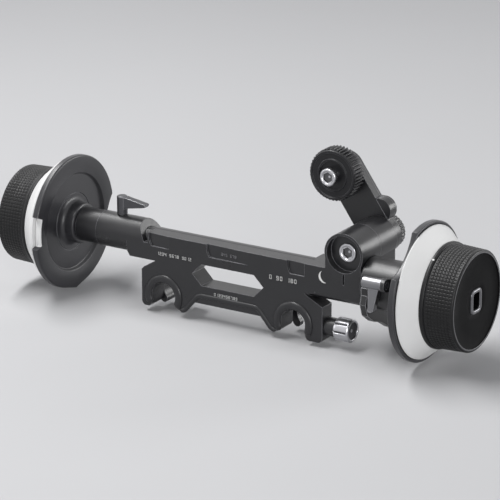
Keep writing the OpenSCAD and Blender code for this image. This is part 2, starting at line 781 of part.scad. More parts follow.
cover_screw_r = 0.9;
cover_head_r = 1.6;
screw_angles = [220, 320];
screw_side = arm_link / 2 + edge;           // how far the upper screws lie beside the gears' line
screw_mid = (axis_two + axis_d) / 2;
screw_spots = [for (a = screw_angles) axis_a + (arm_hub_r - edge - cover_head_r) * [cos(a), sin(a)],
    for (side = [-1, 1]) screw_mid + side * screw_side * [-arm_line[1], arm_line[0]]];

module arm_housing() {
    color("#2a2b2e") difference() {
        along_y(arm_front, cover_y) arm_outline();
        at_axis(axis_a) {
            rod_y(arm_front + arm_wall, cover_y + over, arm_tip_r + gap);
            rod_y(arm_front - over, cover_y, spigot_r + run_fit);
        }
        at_axis(axis_one) rod_y(arm_front + arm_wall, cover_y + over, arm_tip_r + gap);
        at_axis(axis_two) rod_y(arm_front + arm_wall, cover_y + over, arm_tip_r + gap);
        at_axis(axis_d) {
            rod_y(arm_front + arm_wall, cover_y + over, arm_tip_r + gap);
            rod_y(arm_front - over, cover_y, axle_r + bush_wall + snug_fit);
        }
        for (c = [axis_one, axis_two]) at_axis(c)
            rod_y(arm_front + arm_wall - pin_seat, cover_y, pin_r + snug_fit);
        for (c = screw_spots) at_axis(c) rod_y(cover_y - 3 * bush_wall / 2, cover_y + over, cover_screw_r + snug_fit);
    }
}

module arm_cover() {
    color("#2a2b2e") difference() {
        union() {
            along_y(cover_y, arm_back) arm_outline();
            at_axis(axis_a) rod_y(arm_back, arm_back + drag_boss_h, drag_boss_r);
        }
        for (c = [axis_one, axis_two]) at_axis(c) rod_y(cover_y - over, cover_y + pin_seat, pin_r + snug_fit);
        at_axis(axis_d) rod_y(cover_y - over, cover_y + pin_seat, axle_r + run_fit);
        at_axis(axis_a) {
            rod_y(cover_y - over, cross_end, cross_r + run_fit);
            rod_y(cross_end, arm_back + drag_gap + over, drag_stud_r + run_fit);
        }
        for (c = screw_spots) at_axis(c) {
            rod_y(cover_y - over, arm_back + over, cover_screw_r + snug_fit);
            rod_y(arm_back - edge * 2, arm_back + over, cover_head_r + snug_fit);
        }
    }
}

module cover_screws() {
    color("#4a4b4e") for (c = screw_spots) at_axis(c) difference() {
        union() {
            rod_y(cover_y - bush_wall, arm_back - edge, cover_screw_r);
            rod_y(arm_back - edge * 2, arm_back, cover_head_r);
        }
        rod_y(arm_back - edge, arm_back + over, cover_screw_r * 0.8);
    }
}

module spur_on(c, n, phase, bore) {
    at_axis(c) along_y(gear_y, gear_y + arm_gear_w) difference() {
        spur(n, gear_m, phase);
        circle(bore);
    }
}

module drive_gear() { color("#a8895a") spur_on(axis_a, arm_teeth, phase_a, cross_r + snug_fit); }
module idler_gear_one() { color("#a8895a") spur_on(axis_one, arm_teeth, phase_one, pin_r + run_fit); }
module idler_gear_two() { color("#a8895a") spur_on(axis_two, arm_teeth, phase_two, pin_r + run_fit); }
module driven_gear() { color("#a8895a") spur_on(axis_d, arm_teeth, phase_d, axle_r + snug_fit); }

module idler_pins() {
    color("#9a9ca0") for (c = [axis_one, axis_two]) at_axis(c)
        rod_y(arm_front + arm_wall - pin_seat, cover_y + pin_seat, pin_r);
}

module gear_axle() {
    color("#9a9ca0") at_axis(axis_d) rod_y(focus_front + gear_recess, cover_y + pin_seat - edge / 2, axle_r);
}

module axle_bush() {
    color("#b08d4a") at_axis(axis_d)
        tube_y(arm_front - focus_gap / 2, arm_front + arm_wall, axle_r + bush_wall, axle_r + run_fit);
}

module focus_gear() {
    color("#2f3033") difference() {
        at_axis(axis_d) along_y(focus_front, focus_back) spur(focus_teeth, gear_m, 0);
        at_axis(axis_d) {
            rod_y(focus_front - over, focus_back + over, axle_r + snug_fit);
            rod_y(focus_front - over, focus_front + gear_recess, gear_recess_r);
        }
    }
}

module gear_screw() {
    head_y = focus_front + gear_recess - gear_head_h;
    color("#c9cbce") at_axis(axis_d) difference() {
        union() {
            rod_y(head_y, head_y + gear_head_h * head_share, gear_head_r);
            rod_y(head_y, focus_front + gear_recess, gear_neck_r);
        }
        rod_y(head_y - over, head_y + gear_head_h * head_share / 2, gear_neck_r - edge);
    }
}

// Rear drag knob
drag_front = arm_back + drag_gap;

module drag_knob() {
    color("#1d1d1f") at_axis(axis_a) union() {
        rod_y(drag_front, drag_front + edge * 2, drag_r - edge * 2, drag_r);
        rod_y(drag_front + edge * 2, drag_front + drag_len - edge * 2, drag_r);
        rod_y(drag_front + drag_len - edge * 2, drag_front + drag_len, drag_r, drag_r - edge * 2);
        rod_y(cross_end + edge / 2, drag_front + over, drag_stud_r);
    }
}

module drag_pad() {
    color("#c8b48a") at_axis(axis_a) rod_y(cross_end - pad_t + run_fit, cross_end - run_fit, cross_r);
}

// Rod clamp
clamp_y = leg_depth / 2 - front_y;
clamp_face = half_gap + rod_r + clamp_leg_w;
shoe_back = half_gap + rod_r + gap / 2;
collar_r = 6.5;                             // radius of the collar between the leg and the knob

module clamp_shoe() {
    color("#8d8f93") translate([0, clamp_y, 0]) difference() {
        rod_x(half_gap + rod_r * 0.8, shoe_back + shoe_len, shoe_r);
        translate([half_gap, 0, 0]) rod_y(-rod_r * 2, rod_r * 2, rod_r + gap / 2);
        rod_x(shoe_back + shoe_len - bush_wall, shoe_back + shoe_len + over, screw_r + gap);
    }
}

module clamp_screw() {
    color("#c9cbce") translate([0, clamp_y, 0])
        rod_x(shoe_back + shoe_len - bush_wall + gap, clamp_face + clamp_knob_gap, screw_r);
}

module clamp_collar() {
    color("#2a2b2e") translate([0, clamp_y, 0])
        tube_x(clamp_face + gap, clamp_face + clamp_knob_gap, collar_r, screw_r + snug_fit);
}

module clamp_knob() {
    start = clamp_face + clamp_knob_gap;
    color("#d3d5d8") translate([0, clamp_y, 0]) difference() {
        union() {
            rod_x(start, start + edge, clamp_knob_r - edge, clamp_knob_r);
            rod_x(start + edge, start + clamp_knob_len - edge, clamp_knob_r);
            rod_x(start + clamp_knob_len - edge, start + clamp_knob_len, clamp_knob_r, clamp_knob_r - edge);
        }
        for (i = [0 : flutes - 1]) rotate([360 / flutes * i, 0, 0])
            translate([0, 0, clamp_knob_r + edge * 1.4])
                rod_x(start - over, start + clamp_knob_len * 0.82, clamp_knob_r * 0.26);
        rod_x(start + clamp_knob_len - edge * 2, start + clamp_knob_len + over, clamp_knob_r * 0.66);
    }
}

// Levers
module left_lever() {
    top = barrel_r + gap + lever_hub_h;
    color("#b9bbbf") translate([-lever_x, 0, shaft_z]) difference() {
        union() {
            translate([0, 0, barrel_r + gap]) cylinder(h = lever_hub_h - edge, r = lever_hub_r);
            translate([0, 0, top - edge]) cylinder(h = edge, r1 = lever_hub_r, r2 = lever_hub_r - edge);
            along_y(-lever_hub_r * 0.7, lever_hub_r * 0.7)
                polygon([[0, top - edge], [lever_hub_r, top - edge],
                    [lever_reach - edge, top - lever_hub_h * 0.24],
                    [lever_reach, top - lever_hub_h * 0.3], [lever_reach - edge, top - lever_hub_h * 0.4],
                    [lever_hub_r * 1.4, top - lever_hub_h * 0.62], [0, top - lever_hub_h * 0.8]]);
        }
        translate([0, 0, barrel_r - over]) cylinder(h = lever_hub_h / 2 + over, r = stud_r + snug_fit);
    }
}

module left_lever_stud() {
    color("#9a9ca0") translate([-lever_x, 0, shaft_z + sleeve_r + gap])
        cylinder(h = barrel_r - sleeve_r + lever_hub_h / 2 - gap, r = stud_r);
}

// Bracket under the right sleeve, with the ear that the right lever's stud turns in
bracket_plate = 4.5;
bracket_x = block_out + 3.3;
ear_x = bracket_x + side_hub_len + 3.5;
ear_t = 3;
ear_r = 4.5;
band_t = 1.2;
bracket_r = right_sleeve_r + band_t;
side_lever_spot = [-side_lever_y, side_lever_up];
// Corners of the bracket's plate from the shaft's axis, in sleeve radii
bracket_shares = [[0.6, 0], [-1.04, -0.3], [-1.15, -0.67], [-0.97, -1.17], [-0.45, -1.55], [0.21, -1.78],
    [0.92, -2.22], [1.22, -1.9], [1.1, -0.5]];
bracket_hole = [0.775, -1.57];
bracket_hole_r = 1.6;

module bracket_band(r_out) {
    difference() {
        sector(r_out, 178, 150);
        circle(right_sleeve_r + snug_fit);
    }
}

module side_bracket() {
    color("#34363a") at_shaft() difference() {
        union() {
            along_x(bracket_x, right_plate_x - plate_web - 2 * gap) bracket_band(bracket_r);
            along_x(bracket_x, bracket_x + bracket_plate) difference() {
                polygon(right_sleeve_r * bracket_shares);
                circle(right_sleeve_r + snug_fit);
                translate(right_sleeve_r * bracket_hole) circle(bracket_hole_r);
            }
            along_x(ear_x, ear_x + ear_t) difference() {
                link(side_lever_spot * ear_root_share, ear_r, side_lever_spot, ear_r);
                circle(right_sleeve_r + snug_fit);
            }
            along_x(ear_x, ear_x + ear_t) difference() {
                sector(bracket_r, 150, 40);
                circle(right_sleeve_r + snug_fit);
            }
        }
        translate([0, side_lever_spot[0], side_lever_spot[1]])
            rod_x(ear_x - over, ear_x + ear_t + over, stud_r + run_fit);
        bracket_bores();
    }
}

ear_root_share = 0.85;                      // where the ear leaves the band, on the line to the stud
bracket_screw_r = 1.5;
bracket_screw_angles = [225, 290];
bracket_screw_ring = bracket_r + band_t + 1.6;

module bracket_bores() {
    for (a = bracket_screw_angles) rotate([a, 0, 0]) translate([0, bracket_screw_ring, 0])
        rod_x(bracket_x - over, bracket_x + bracket_plate + over, bracket_screw_r + snug_fit);
}

module bracket_screws() {
    color("#c9cbce") at_shaft() for (a = bracket_screw_angles) rotate([a, 0, 0])
        translate([0, bracket_screw_ring, 0]) union() {
            rod_x(bracket_x, bracket_x + bracket_plate, bracket_screw_r);
            rod_x(bracket_x + bracket_plate, bracket_x + bracket_plate + 2 * edge, bracket_screw_r * head_ratio);
        }
}

head_ratio = 1.7;                           // screw head's radius over the screw's

module side_lever() {
    hub_x = ear_x - gap - side_hub_len;
    color("#b9bbbf") translate([0, side_lever_spot[0], shaft_z + side_lever_spot[1]]) difference() {
        union() {
            rod_x(hub_x, hub_x + edge * 2, side_hub_r - edge * 2, side_hub_r);
            rod_x(hub_x + edge * 2, hub_x + side_hub_len, side_hub_r);
            along_y(-side_hub_r * 0.6, side_hub_r * 0.6)
                polygon([[hub_x + side_hub_len * 0.36, 0], [hub_x + side_hub_len * 0.92, 0],
                    [hub_x + side_hub_len * 0.62, -side_lever_len + edge],
                    [hub_x + side_hub_len * 0.57, -side_lever_len],
                    [hub_x + side_hub_len * 0.36, -side_lever_len + edge]]);
        }
        rod_x(hub_x + side_hub_len / 2, hub_x + side_hub_len + over, stud_r + snug_fit);
    }
}

module side_lever_stud() {
    hub_x = ear_x - gap - side_hub_len;
    color("#9a9ca0") translate([0, side_lever_spot[0], shaft_z + side_lever_spot[1]])
        rod_x(hub_x + side_hub_len / 2 + edge / 4, ear_x + ear_t, stud_r);
}

bridge_body();
shaft_bushes();
wheel_shaft();
shaft_gear();
shaft_collars();
left_sleeve();
right_sleeve();
left_index_plate();
right_index_plate();
left_marking_ring();
right_marking_ring();
left_wheel();
right_wheel();
left_wheel_core();
right_wheel_core();
left_wheel_cap();
right_wheel_cap();
left_whip_socket();
right_whip_socket();
cross_shaft();
cross_gear();
cross_cap_screw();
pivot_housing();
pivot_bushes();
arm_housing();
arm_cover();
cover_screws();
drive_gear();
idler_gear_one();
idler_gear_two();
idler_pins();
driven_gear();
gear_axle();
axle_bush();
focus_gear();
gear_screw();
drag_knob();
drag_pad();
clamp_shoe();
clamp_screw();
clamp_collar();
clamp_knob();
left_lever();
left_lever_stud();
side_bracket();
bracket_screws();
side_lever();
side_lever_stud();
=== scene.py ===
import json
import math
import bmesh
import bpy
import numpy as np
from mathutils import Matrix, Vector


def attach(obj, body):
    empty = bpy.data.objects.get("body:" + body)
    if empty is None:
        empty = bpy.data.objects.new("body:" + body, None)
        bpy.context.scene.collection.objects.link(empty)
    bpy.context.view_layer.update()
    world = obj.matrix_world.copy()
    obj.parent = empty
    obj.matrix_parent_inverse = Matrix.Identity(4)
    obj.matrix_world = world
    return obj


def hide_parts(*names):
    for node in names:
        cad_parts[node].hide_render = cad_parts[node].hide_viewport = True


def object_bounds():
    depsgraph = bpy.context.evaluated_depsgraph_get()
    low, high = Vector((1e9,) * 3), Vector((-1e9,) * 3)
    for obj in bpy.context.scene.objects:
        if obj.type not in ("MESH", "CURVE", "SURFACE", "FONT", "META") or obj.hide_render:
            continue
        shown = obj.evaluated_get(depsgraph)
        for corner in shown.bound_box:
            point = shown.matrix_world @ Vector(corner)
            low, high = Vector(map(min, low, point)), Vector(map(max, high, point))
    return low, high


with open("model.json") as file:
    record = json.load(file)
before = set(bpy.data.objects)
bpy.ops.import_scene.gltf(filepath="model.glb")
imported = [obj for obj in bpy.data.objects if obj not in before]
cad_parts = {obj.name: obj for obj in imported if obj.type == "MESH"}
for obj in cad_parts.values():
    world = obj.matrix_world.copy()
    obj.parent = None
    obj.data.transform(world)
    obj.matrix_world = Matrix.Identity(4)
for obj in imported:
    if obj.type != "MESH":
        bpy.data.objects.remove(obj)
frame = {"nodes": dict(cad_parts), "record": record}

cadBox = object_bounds()
nodes = frame["nodes"]
scene = bpy.context.scene
mm = 0.001

unit = {"left": -135.5, "right": 143.2, "shaftZ": 36.4}  # inner face of each wheel unit, height of the shaft


# Camera at the photograph's viewing angle
cameraView = {"place": (1040.5, -1656.1, 695.3), "lookAt": (10.32, 0.0, 40.84), "lens": 218.8, "sensor": 36.0,
    "reach": 20.0}

camera = bpy.data.objects.new("camera", bpy.data.cameras.new("camera"))
scene.collection.objects.link(camera)
camera.location = Vector(cameraView["place"]) * mm
lookLine = Vector(cameraView["lookAt"]) * mm - camera.location
camera.rotation_euler = lookLine.to_track_quat("-Z", "Y").to_euler()
camera.data.lens = cameraView["lens"]
camera.data.sensor_width = cameraView["sensor"]
camera.data.clip_end = cameraView["reach"]
scene.camera = camera
scene.view_settings.view_transform = "Standard"
print("camera is set")


def addNode(tree, kind, links=None, **settings):
    # a node with its settings, its sockets linked or set by their names or numbers
    node = tree.nodes.new(kind)
    for key, value in settings.items():
        setattr(node, key, value)
    for key, value in (links or {}).items():
        if isinstance(value, bpy.types.NodeSocket):
            tree.links.new(value, node.inputs[key])
        else:
            node.inputs[key].default_value = value
    return node


# Lights: a long strip above, and a soft lamp in front on the right, on the left and behind
lampAim = (0.0, 0.0, 0.04)
lamps = {
    "topLamp": {"place": (-0.55, -0.2, 1.3), "size": 1.6, "width": 0.24, "power": 22.5},
    "frontLamp": {"place": (1.3, -1.3, 0.5), "size": 0.8, "power": 12.5},
    "leftLamp": {"place": (-1.3, -0.8, 0.55), "size": 0.7, "power": 2.4},
    "backLamp": {"place": (1.1, 1.2, 0.35), "size": 0.7, "power": 9.0},
}

for name, lamp in lamps.items():
    light = bpy.data.lights.new(name, "AREA")
    light.shape = "RECTANGLE" if "width" in lamp else "DISK"
    light.size = lamp["size"]
    light.size_y = lamp.get("width", 1.0)
    light.energy = lamp["power"]
    lightObject = bpy.data.objects.new(name, light)
    scene.collection.objects.link(lightObject)
    lightObject.location = lamp["place"]
    aim = Vector(lampAim) - lightObject.location
    lightObject.rotation_euler = aim.to_track_quat("-Z", "Y").to_euler()

# The camera, gloss and glass see the pale backdrop, and all else gets the weaker fill
backdrop = {"seen": (0.93, 0.93, 0.94, 1), "fill": (0.8, 0.82, 0.86, 1), "fillStrength": 0.22}
world = bpy.data.worlds.new("studio")
scene.world = world
world.use_nodes = True
tree = world.node_tree
tree.nodes.clear()
seen = addNode(tree, "ShaderNodeBackground", {"Color": backdrop["seen"]})
fill = addNode(tree, "ShaderNodeBackground", {"Color": backdrop["fill"], "Strength": backdrop["fillStrength"]})
paths = addNode(tree, "ShaderNodeLightPath")
throughGlass = addNode(tree, "ShaderNodeMath",
    {0: paths.outputs["Is Camera Ray"], 1: paths.outputs["Is Transmission Ray"]}, operation="MAXIMUM")
inGloss = addNode(tree, "ShaderNodeMath",
    {0: throughGlass.outputs[0], 1: paths.outputs["Is Glossy Ray"]}, operation="MAXIMUM")
mix = addNode(tree, "ShaderNodeMixShader", {0: inGloss.outputs[0], 1: fill.outputs[0], 2: seen.outputs[0]})
addNode(tree, "ShaderNodeOutputWorld", {"Surface": mix.outputs[0]})
print("lights are set")


# Shared effects, each a node group with its own inputs
number = "NodeSocketFloat"


def newGroup(name, inputs, outputs):
    group = bpy.data.node_groups.new(name, "ShaderNodeTree")
    for label, kind, value in inputs:
        socket = group.interface.new_socket(label, in_out="INPUT", socket_type=kind)
        socket.default_value = value
    for label, kind in outputs:
        group.interface.new_socket(label, in_out="OUTPUT", socket_type=kind)
    return group, group.nodes.new("NodeGroupInput"), group.nodes.new("NodeGroupOutput")


edgeWearAndHighlight = {"samples": 6, "turn": (0.004, 0.12), "patches": (0.22, 0.52)}


def edgeWearAndHighlightGroup():
    # the angle between the true normal and one rounded over the edges marks the edges; the mask, cut into noise
    # patches, lays a lighter edge colour that is partly wear and partly a painted highlight
    wearAndHighlight = edgeWearAndHighlight
    group, given, result = newGroup("edge wear and highlight",
        [("Radius", number, 0.0004), ("Amount", number, 0.5), ("Patch Scale", number, 60.0)],
        [("Mask", number), ("Normal", "NodeSocketVector")])
    bevel = addNode(group, "ShaderNodeBevel", {"Radius": given.outputs["Radius"]}, samples=wearAndHighlight["samples"])
    geometry = addNode(group, "ShaderNodeNewGeometry")
    dot = addNode(group, "ShaderNodeVectorMath",
        {0: bevel.outputs[0], 1: geometry.outputs["Normal"]}, operation="DOT_PRODUCT")
    turn = addNode(group, "ShaderNodeMath", {0: 1.0, 1: dot.outputs["Value"]}, operation="SUBTRACT")
    spread = addNode(group, "ShaderNodeMapRange",
        {"Value": turn.outputs[0], "From Min": wearAndHighlight["turn"][0], "From Max": wearAndHighlight["turn"][1]})
    place = addNode(group, "ShaderNodeTexCoord")
    patches = addNode(group, "ShaderNodeTexNoise",
        {"Vector": place.outputs["Object"], "Scale": given.outputs["Patch Scale"], "Detail": 4.0})
    wornAndLit = addNode(group, "ShaderNodeMapRange",
        {"Value": patches.outputs[0], "From Min": wearAndHighlight["patches"][0], "From Max": wearAndHighlight["patches"][1]})
    both = addNode(group, "ShaderNodeMath", {0: spread.outputs[0], 1: wornAndLit.outputs[0]}, operation="MULTIPLY")
    scaled = addNode(group, "ShaderNodeMath", {0: both.outputs[0], 1: given.outputs["Amount"]},
        operation="MULTIPLY")
    group.links.new(scaled.outputs[0], result.inputs["Mask"])
    group.links.new(bevel.outputs[0], result.inputs["Normal"])
    return group


def grainGroup():
    # fine bead-blasted grain with a slower cloud of tone over it
    group, given, result = newGroup("surface grain",
        [("Grain Scale", number, 3000.0), ("Cloud Scale", number, 40.0)],
        [("Height", number), ("Cloud", number)])
    place = addNode(group, "ShaderNodeTexCoord")
    grain = addNode(group, "ShaderNodeTexNoise",
        {"Vector": place.outputs["Object"], "Scale": given.outputs["Grain Scale"], "Detail": 2.0})
    cloud = addNode(group, "ShaderNodeTexNoise",
        {"Vector": place.outputs["Object"], "Scale": given.outputs["Cloud Scale"], "Detail": 5.0})
    group.links.new(grain.outputs[0], result.inputs["Height"])
    group.links.new(cloud.outputs[0], result.inputs["Cloud"])
    return group


settledDust = {"facing": (0.3, 1.0), "scale": 900.0, "patches": (0.45, 0.75), "colour": (0.45, 0.44, 0.42)}


def dustGroup():
    # thin dust that settles on what faces up, in soft patches
    dust = settledDust
    group, given, result = newGroup("settled dust", [("Amount", number, 0.05)], [("Mask", number)])
    geometry = addNode(group, "ShaderNodeNewGeometry")
    parts = addNode(group, "ShaderNodeSeparateXYZ", {0: geometry.outputs["Normal"]})
    up = addNode(group, "ShaderNodeMapRange",
        {"Value": parts.outputs["Z"], "From Min": dust["facing"][0], "From Max": dust["facing"][1]})
    place = addNode(group, "ShaderNodeTexCoord")
    specks = addNode(group, "ShaderNodeTexNoise",
        {"Vector": place.outputs["Object"], "Scale": dust["scale"], "Detail": 6.0, "Roughness": 0.7})
    chosen = addNode(group, "ShaderNodeMapRange",
        {"Value": specks.outputs[0], "From Min": dust["patches"][0], "From Max": dust["patches"][1]})
    both = addNode(group, "ShaderNodeMath", {0: up.outputs[0], 1: chosen.outputs[0]}, operation="MULTIPLY")
    scaled = addNode(group, "ShaderNodeMath", {0: both.outputs[0], 1: given.outputs["Amount"]},
        operation="MULTIPLY")
    group.links.new(scaled.outputs[0], result.inputs["Mask"])
    return group


effects = {"edges": edgeWearAndHighlightGroup(), "grain": grainGroup(), "dust": dustGroup()}


# One dictionary of values for each finish: two tones and the edge's, which is partly worn metal and partly a painted
# highlight along the edges, the range of roughness, how much it shines, and the effects' values, with lengths in
# metres
finishes = {
    "blackAnodised": {"base": (0.011, 0.011, 0.0125), "second": (0.016, 0.016, 0.018), "edge": (0.26, 0.26, 0.28),
        "rough": (0.27, 0.36), "shine": 0.5, "metal": 0.0, "edgeRadius": 0.00055, "edgeAmount": 0.9,
        "grain": 5200, "bump": 0.10, "dust": 0.05},
    "blackSmooth": {"base": (0.006, 0.006, 0.0065), "second": (0.009, 0.009, 0.010), "edge": (0.16, 0.16, 0.17),
        "rough": (0.26, 0.36), "shine": 0.4, "metal": 0.0, "edgeRadius": 0.0005, "edgeAmount": 0.6,
        "grain": 6500, "bump": 0.06, "dust": 0.04},
    # painted shade: near black for the nose's sunk face and the socket's inner walls
    "paintedShadeBlack": {"base": (0.0015, 0.0015, 0.0017), "second": (0.0025, 0.0025, 0.003), "edge": (0.05, 0.05, 0.06),
        "rough": (0.45, 0.6), "shine": 0.06, "metal": 0.0, "edgeRadius": 0.0003, "edgeAmount": 0.4,
        "grain": 6500, "bump": 0.12, "dust": 0.03},
    # the side bracket's finish: its bright, wide edge colour is partly wear and partly a painted highlight along the
    # edges
    "wornAndLitBlack": {"base": (0.012, 0.012, 0.013), "second": (0.020, 0.020, 0.022), "edge": (0.5, 0.5, 0.52),
        "rough": (0.28, 0.38), "metal": 0.0, "edgeRadius": 0.0009, "edgeAmount": 1.0,
        "grain": 5200, "bump": 0.10, "dust": 0.05},
    # painted shade: the groove colour darkens the knurl's cuts
    "knurledBlack": {"base": (0.008, 0.008, 0.0085), "second": (0.012, 0.012, 0.013), "edge": (0.09, 0.09, 0.10),
        "rough": (0.34, 0.46), "shine": 0.25, "metal": 0.0, "edgeRadius": 0.0002, "edgeAmount": 0.3,
        "grain": 5200, "bump": 0.08, "dust": 0.03, "groove": (0.002, 0.002, 0.002)},
    "plateGrey": {"base": (0.020, 0.020, 0.023), "second": (0.034, 0.034, 0.038), "edge": (0.22, 0.22, 0.24),
        "rough": (0.28, 0.38), "metal": 0.0, "edgeRadius": 0.0004, "edgeAmount": 0.7,
        "grain": 5200, "bump": 0.08, "dust": 0.04},
    "gearBlack": {"base": (0.009, 0.009, 0.010), "second": (0.014, 0.014, 0.016), "edge": (0.26, 0.26, 0.28),
        "rough": (0.34, 0.48), "shine": 0.3, "metal": 0.0, "edgeRadius": 0.00025, "edgeAmount": 0.9,
        "grain": 5200, "bump": 0.10, "dust": 0.04},
    "socketGrey": {"base": (0.13, 0.13, 0.14), "second": (0.18, 0.18, 0.19), "edge": (0.4, 0.4, 0.42),
        "rough": (0.26, 0.36), "metal": 0.6, "edgeRadius": 0.0004, "edgeAmount": 0.6,
        "grain": 5200, "bump": 0.06, "dust": 0.03},
    # painted highlight: a lighter grey laid on the nose's rim
    "rimHighlight": {"base": (0.07, 0.07, 0.075), "second": (0.10, 0.10, 0.105), "edge": (0.3, 0.3, 0.32),
        "rough": (0.28, 0.38), "metal": 0.0, "edgeRadius": 0.0003, "edgeAmount": 0.5,
        "grain": 5200, "bump": 0.06, "dust": 0.03},
    "leverGrey": {"base": (0.20, 0.20, 0.21), "second": (0.25, 0.25, 0.26), "edge": (0.75, 0.75, 0.77),
        "rough": (0.26, 0.38), "metal": 1.0, "edgeRadius": 0.0007, "edgeAmount": 0.7,
        "grain": 5200, "bump": 0.08, "dust": 0.04},
    "gunmetal": {"base": (0.065, 0.065, 0.07), "second": (0.09, 0.09, 0.097), "edge": (0.5, 0.5, 0.52),
        "rough": (0.3, 0.42), "metal": 0.7, "edgeRadius": 0.0007, "edgeAmount": 0.6,
        "grain": 5200, "bump": 0.08, "dust": 0.04},
    "whiteRing": {"base": (0.80, 0.80, 0.795), "second": (0.77, 0.77, 0.765), "edge": (0.82, 0.82, 0.815),
        "rough": (0.38, 0.5), "shine": 0.2, "metal": 0.0, "edgeRadius": 0.0003, "edgeAmount": 0.2,
        "grain": 2600, "bump": 0.04, "dust": 0.03},
    # painted shade: the groove colour darkens the flutes between the ribs
    "chrome": {"base": (0.52, 0.52, 0.54), "second": (0.45, 0.45, 0.47), "edge": (0.7, 0.7, 0.71),
        "rough": (0.24, 0.34), "metal": 1.0, "edgeRadius": 0.0004, "edgeAmount": 0.5,
        "grain": 2600, "bump": 0.02, "dust": 0.03, "groove": (0.05, 0.05, 0.055)},
    "knobEnd": {"base": (0.03, 0.03, 0.033), "second": (0.045, 0.045, 0.05), "edge": (0.3, 0.3, 0.32),
        "rough": (0.4, 0.55), "metal": 0.3, "edgeRadius": 0.0003, "edgeAmount": 0.5,
        "grain": 4200, "bump": 0.08, "dust": 0.03},
    "brightScrew": {"base": (0.58, 0.58, 0.60), "second": (0.48, 0.48, 0.50), "edge": (0.8, 0.8, 0.8),
        "rough": (0.24, 0.34), "metal": 1.0, "edgeRadius": 0.0003, "edgeAmount": 0.5,
        "grain": 4200, "bump": 0.05, "dust": 0.03},
    # painted shade: a darker grey for the screws' hex recesses
    "recessShade": {"base": (0.10, 0.10, 0.105), "second": (0.15, 0.15, 0.155), "edge": (0.5, 0.5, 0.5),
        "rough": (0.3, 0.45), "metal": 0.8, "edgeRadius": 0.0003, "edgeAmount": 0.6,
        "grain": 4200, "bump": 0.1, "dust": 0.02},
    "groundSteel": {"base": (0.50, 0.50, 0.52), "second": (0.42, 0.42, 0.44), "edge": (0.7, 0.7, 0.7),
        "rough": (0.22, 0.36), "metal": 1.0, "edgeRadius": 0.0003, "edgeAmount": 0.4,
        "grain": 4200, "bump": 0.08, "dust": 0.03},
    "bronze": {"base": (0.50, 0.33, 0.16), "second": (0.40, 0.26, 0.12), "edge": (0.66, 0.46, 0.25),
        "rough": (0.34, 0.5), "metal": 1.0, "edgeRadius": 0.0003, "edgeAmount": 0.5,
        "grain": 5200, "bump": 0.12, "dust": 0.02},
    "gearBrass": {"base": (0.60, 0.44, 0.20), "second": (0.52, 0.37, 0.16), "edge": (0.75, 0.58, 0.32),
        "rough": (0.26, 0.4), "metal": 1.0, "edgeRadius": 0.0002, "edgeAmount": 0.5,
        "grain": 4200, "bump": 0.08, "dust": 0.02},
    "clearAnodised": {"base": (0.42, 0.42, 0.44), "second": (0.36, 0.36, 0.38), "edge": (0.6, 0.6, 0.6),
        "rough": (0.32, 0.44), "metal": 1.0, "edgeRadius": 0.0004, "edgeAmount": 0.4,
        "grain": 4200, "bump": 0.08, "dust": 0.03},
    "dragPad": {"base": (0.20, 0.15, 0.09), "second": (0.14, 0.10, 0.06), "edge": (0.26, 0.2, 0.13),
        "rough": (0.7, 0.9), "metal": 0.0, "edgeRadius": 0.0003, "edgeAmount": 0.3,
        "grain": 2600, "bump": 0.4, "dust": 0.02},
    "whiteMark": {"base": (0.72, 0.72, 0.71), "second": (0.66, 0.66, 0.65), "edge": (0.74, 0.74, 0.73),
        "rough": (0.45, 0.6), "metal": 0.0, "edgeRadius": 0.0001, "edgeAmount": 0.1,
        "grain": 4200, "bump": 0.05, "dust": 0.0},
}


def colour(values):
    return (*values, 1.0)


grainDepth = 0.00005  # metres


def makeFinish(name, look):
    material = bpy.data.materials.new(name)
    material.use_nodes = True
    tree = material.node_tree
    tree.nodes.clear()
    out = addNode(tree, "ShaderNodeOutputMaterial")
    shader = addNode(tree, "ShaderNodeBsdfPrincipled", {"Metallic": look["metal"],
        "Specular IOR Level": look.get("shine", 0.5)})
    edges = addNode(tree, "ShaderNodeGroup", node_tree=effects["edges"])
    edges.inputs["Radius"].default_value = look["edgeRadius"]
    edges.inputs["Amount"].default_value = look["edgeAmount"]
    grain = addNode(tree, "ShaderNodeGroup", node_tree=effects["grain"])
    grain.inputs["Grain Scale"].default_value = look["grain"]
    dust = addNode(tree, "ShaderNodeGroup", node_tree=effects["dust"])
    dust.inputs["Amount"].default_value = look["dust"]
    tone = addNode(tree, "ShaderNodeMix", {"Factor": grain.outputs["Cloud"], 6: colour(look["base"]),
        7: colour(look["second"])}, data_type="RGBA")
    # painted highlight: the edge colour is laid over the edges, in patches that also stand for wear
    wornAndLit = addNode(tree, "ShaderNodeMix", {"Factor": edges.outputs["Mask"], 6: tone.outputs[2],
        7: colour(look["edge"])}, data_type="RGBA")
    # painted shade: the colour is drawn towards the groove colour where the pattern is cut deep
    if "groove" in look:
        depth = addNode(tree, "ShaderNodeAttribute", attribute_name="groove")
        wornAndLit = addNode(tree, "ShaderNodeMix", {"Factor": depth.outputs["Fac"], 6: wornAndLit.outputs[2],
            7: colour(look["groove"])}, data_type="RGBA")
    dusty = addNode(tree, "ShaderNodeMix", {"Factor": dust.outputs["Mask"], 6: wornAndLit.outputs[2],
        7: colour(settledDust["colour"])}, data_type="RGBA")
    rough = addNode(tree, "ShaderNodeMapRange", {"Value": grain.outputs["Cloud"], "From Min": 0.3,
        "From Max": 0.7, "To Min": look["rough"][0], "To Max": look["rough"][1]})
    bump = addNode(tree, "ShaderNodeBump", {"Strength": look["bump"], "Distance": grainDepth,
        "Height": grain.outputs["Height"], "Normal": edges.outputs["Normal"]})
    tree.links.new(dusty.outputs[2], shader.inputs["Base Color"])
    tree.links.new(rough.outputs[0], shader.inputs["Roughness"])
    tree.links.new(bump.outputs[0], shader.inputs["Normal"])
    tree.links.new(shader.outputs[0], out.inputs["Surface"])
    return material


materials = {name: makeFinish(name, look) for name, look in finishes.items()}
print("finishes are made:", len(materials))


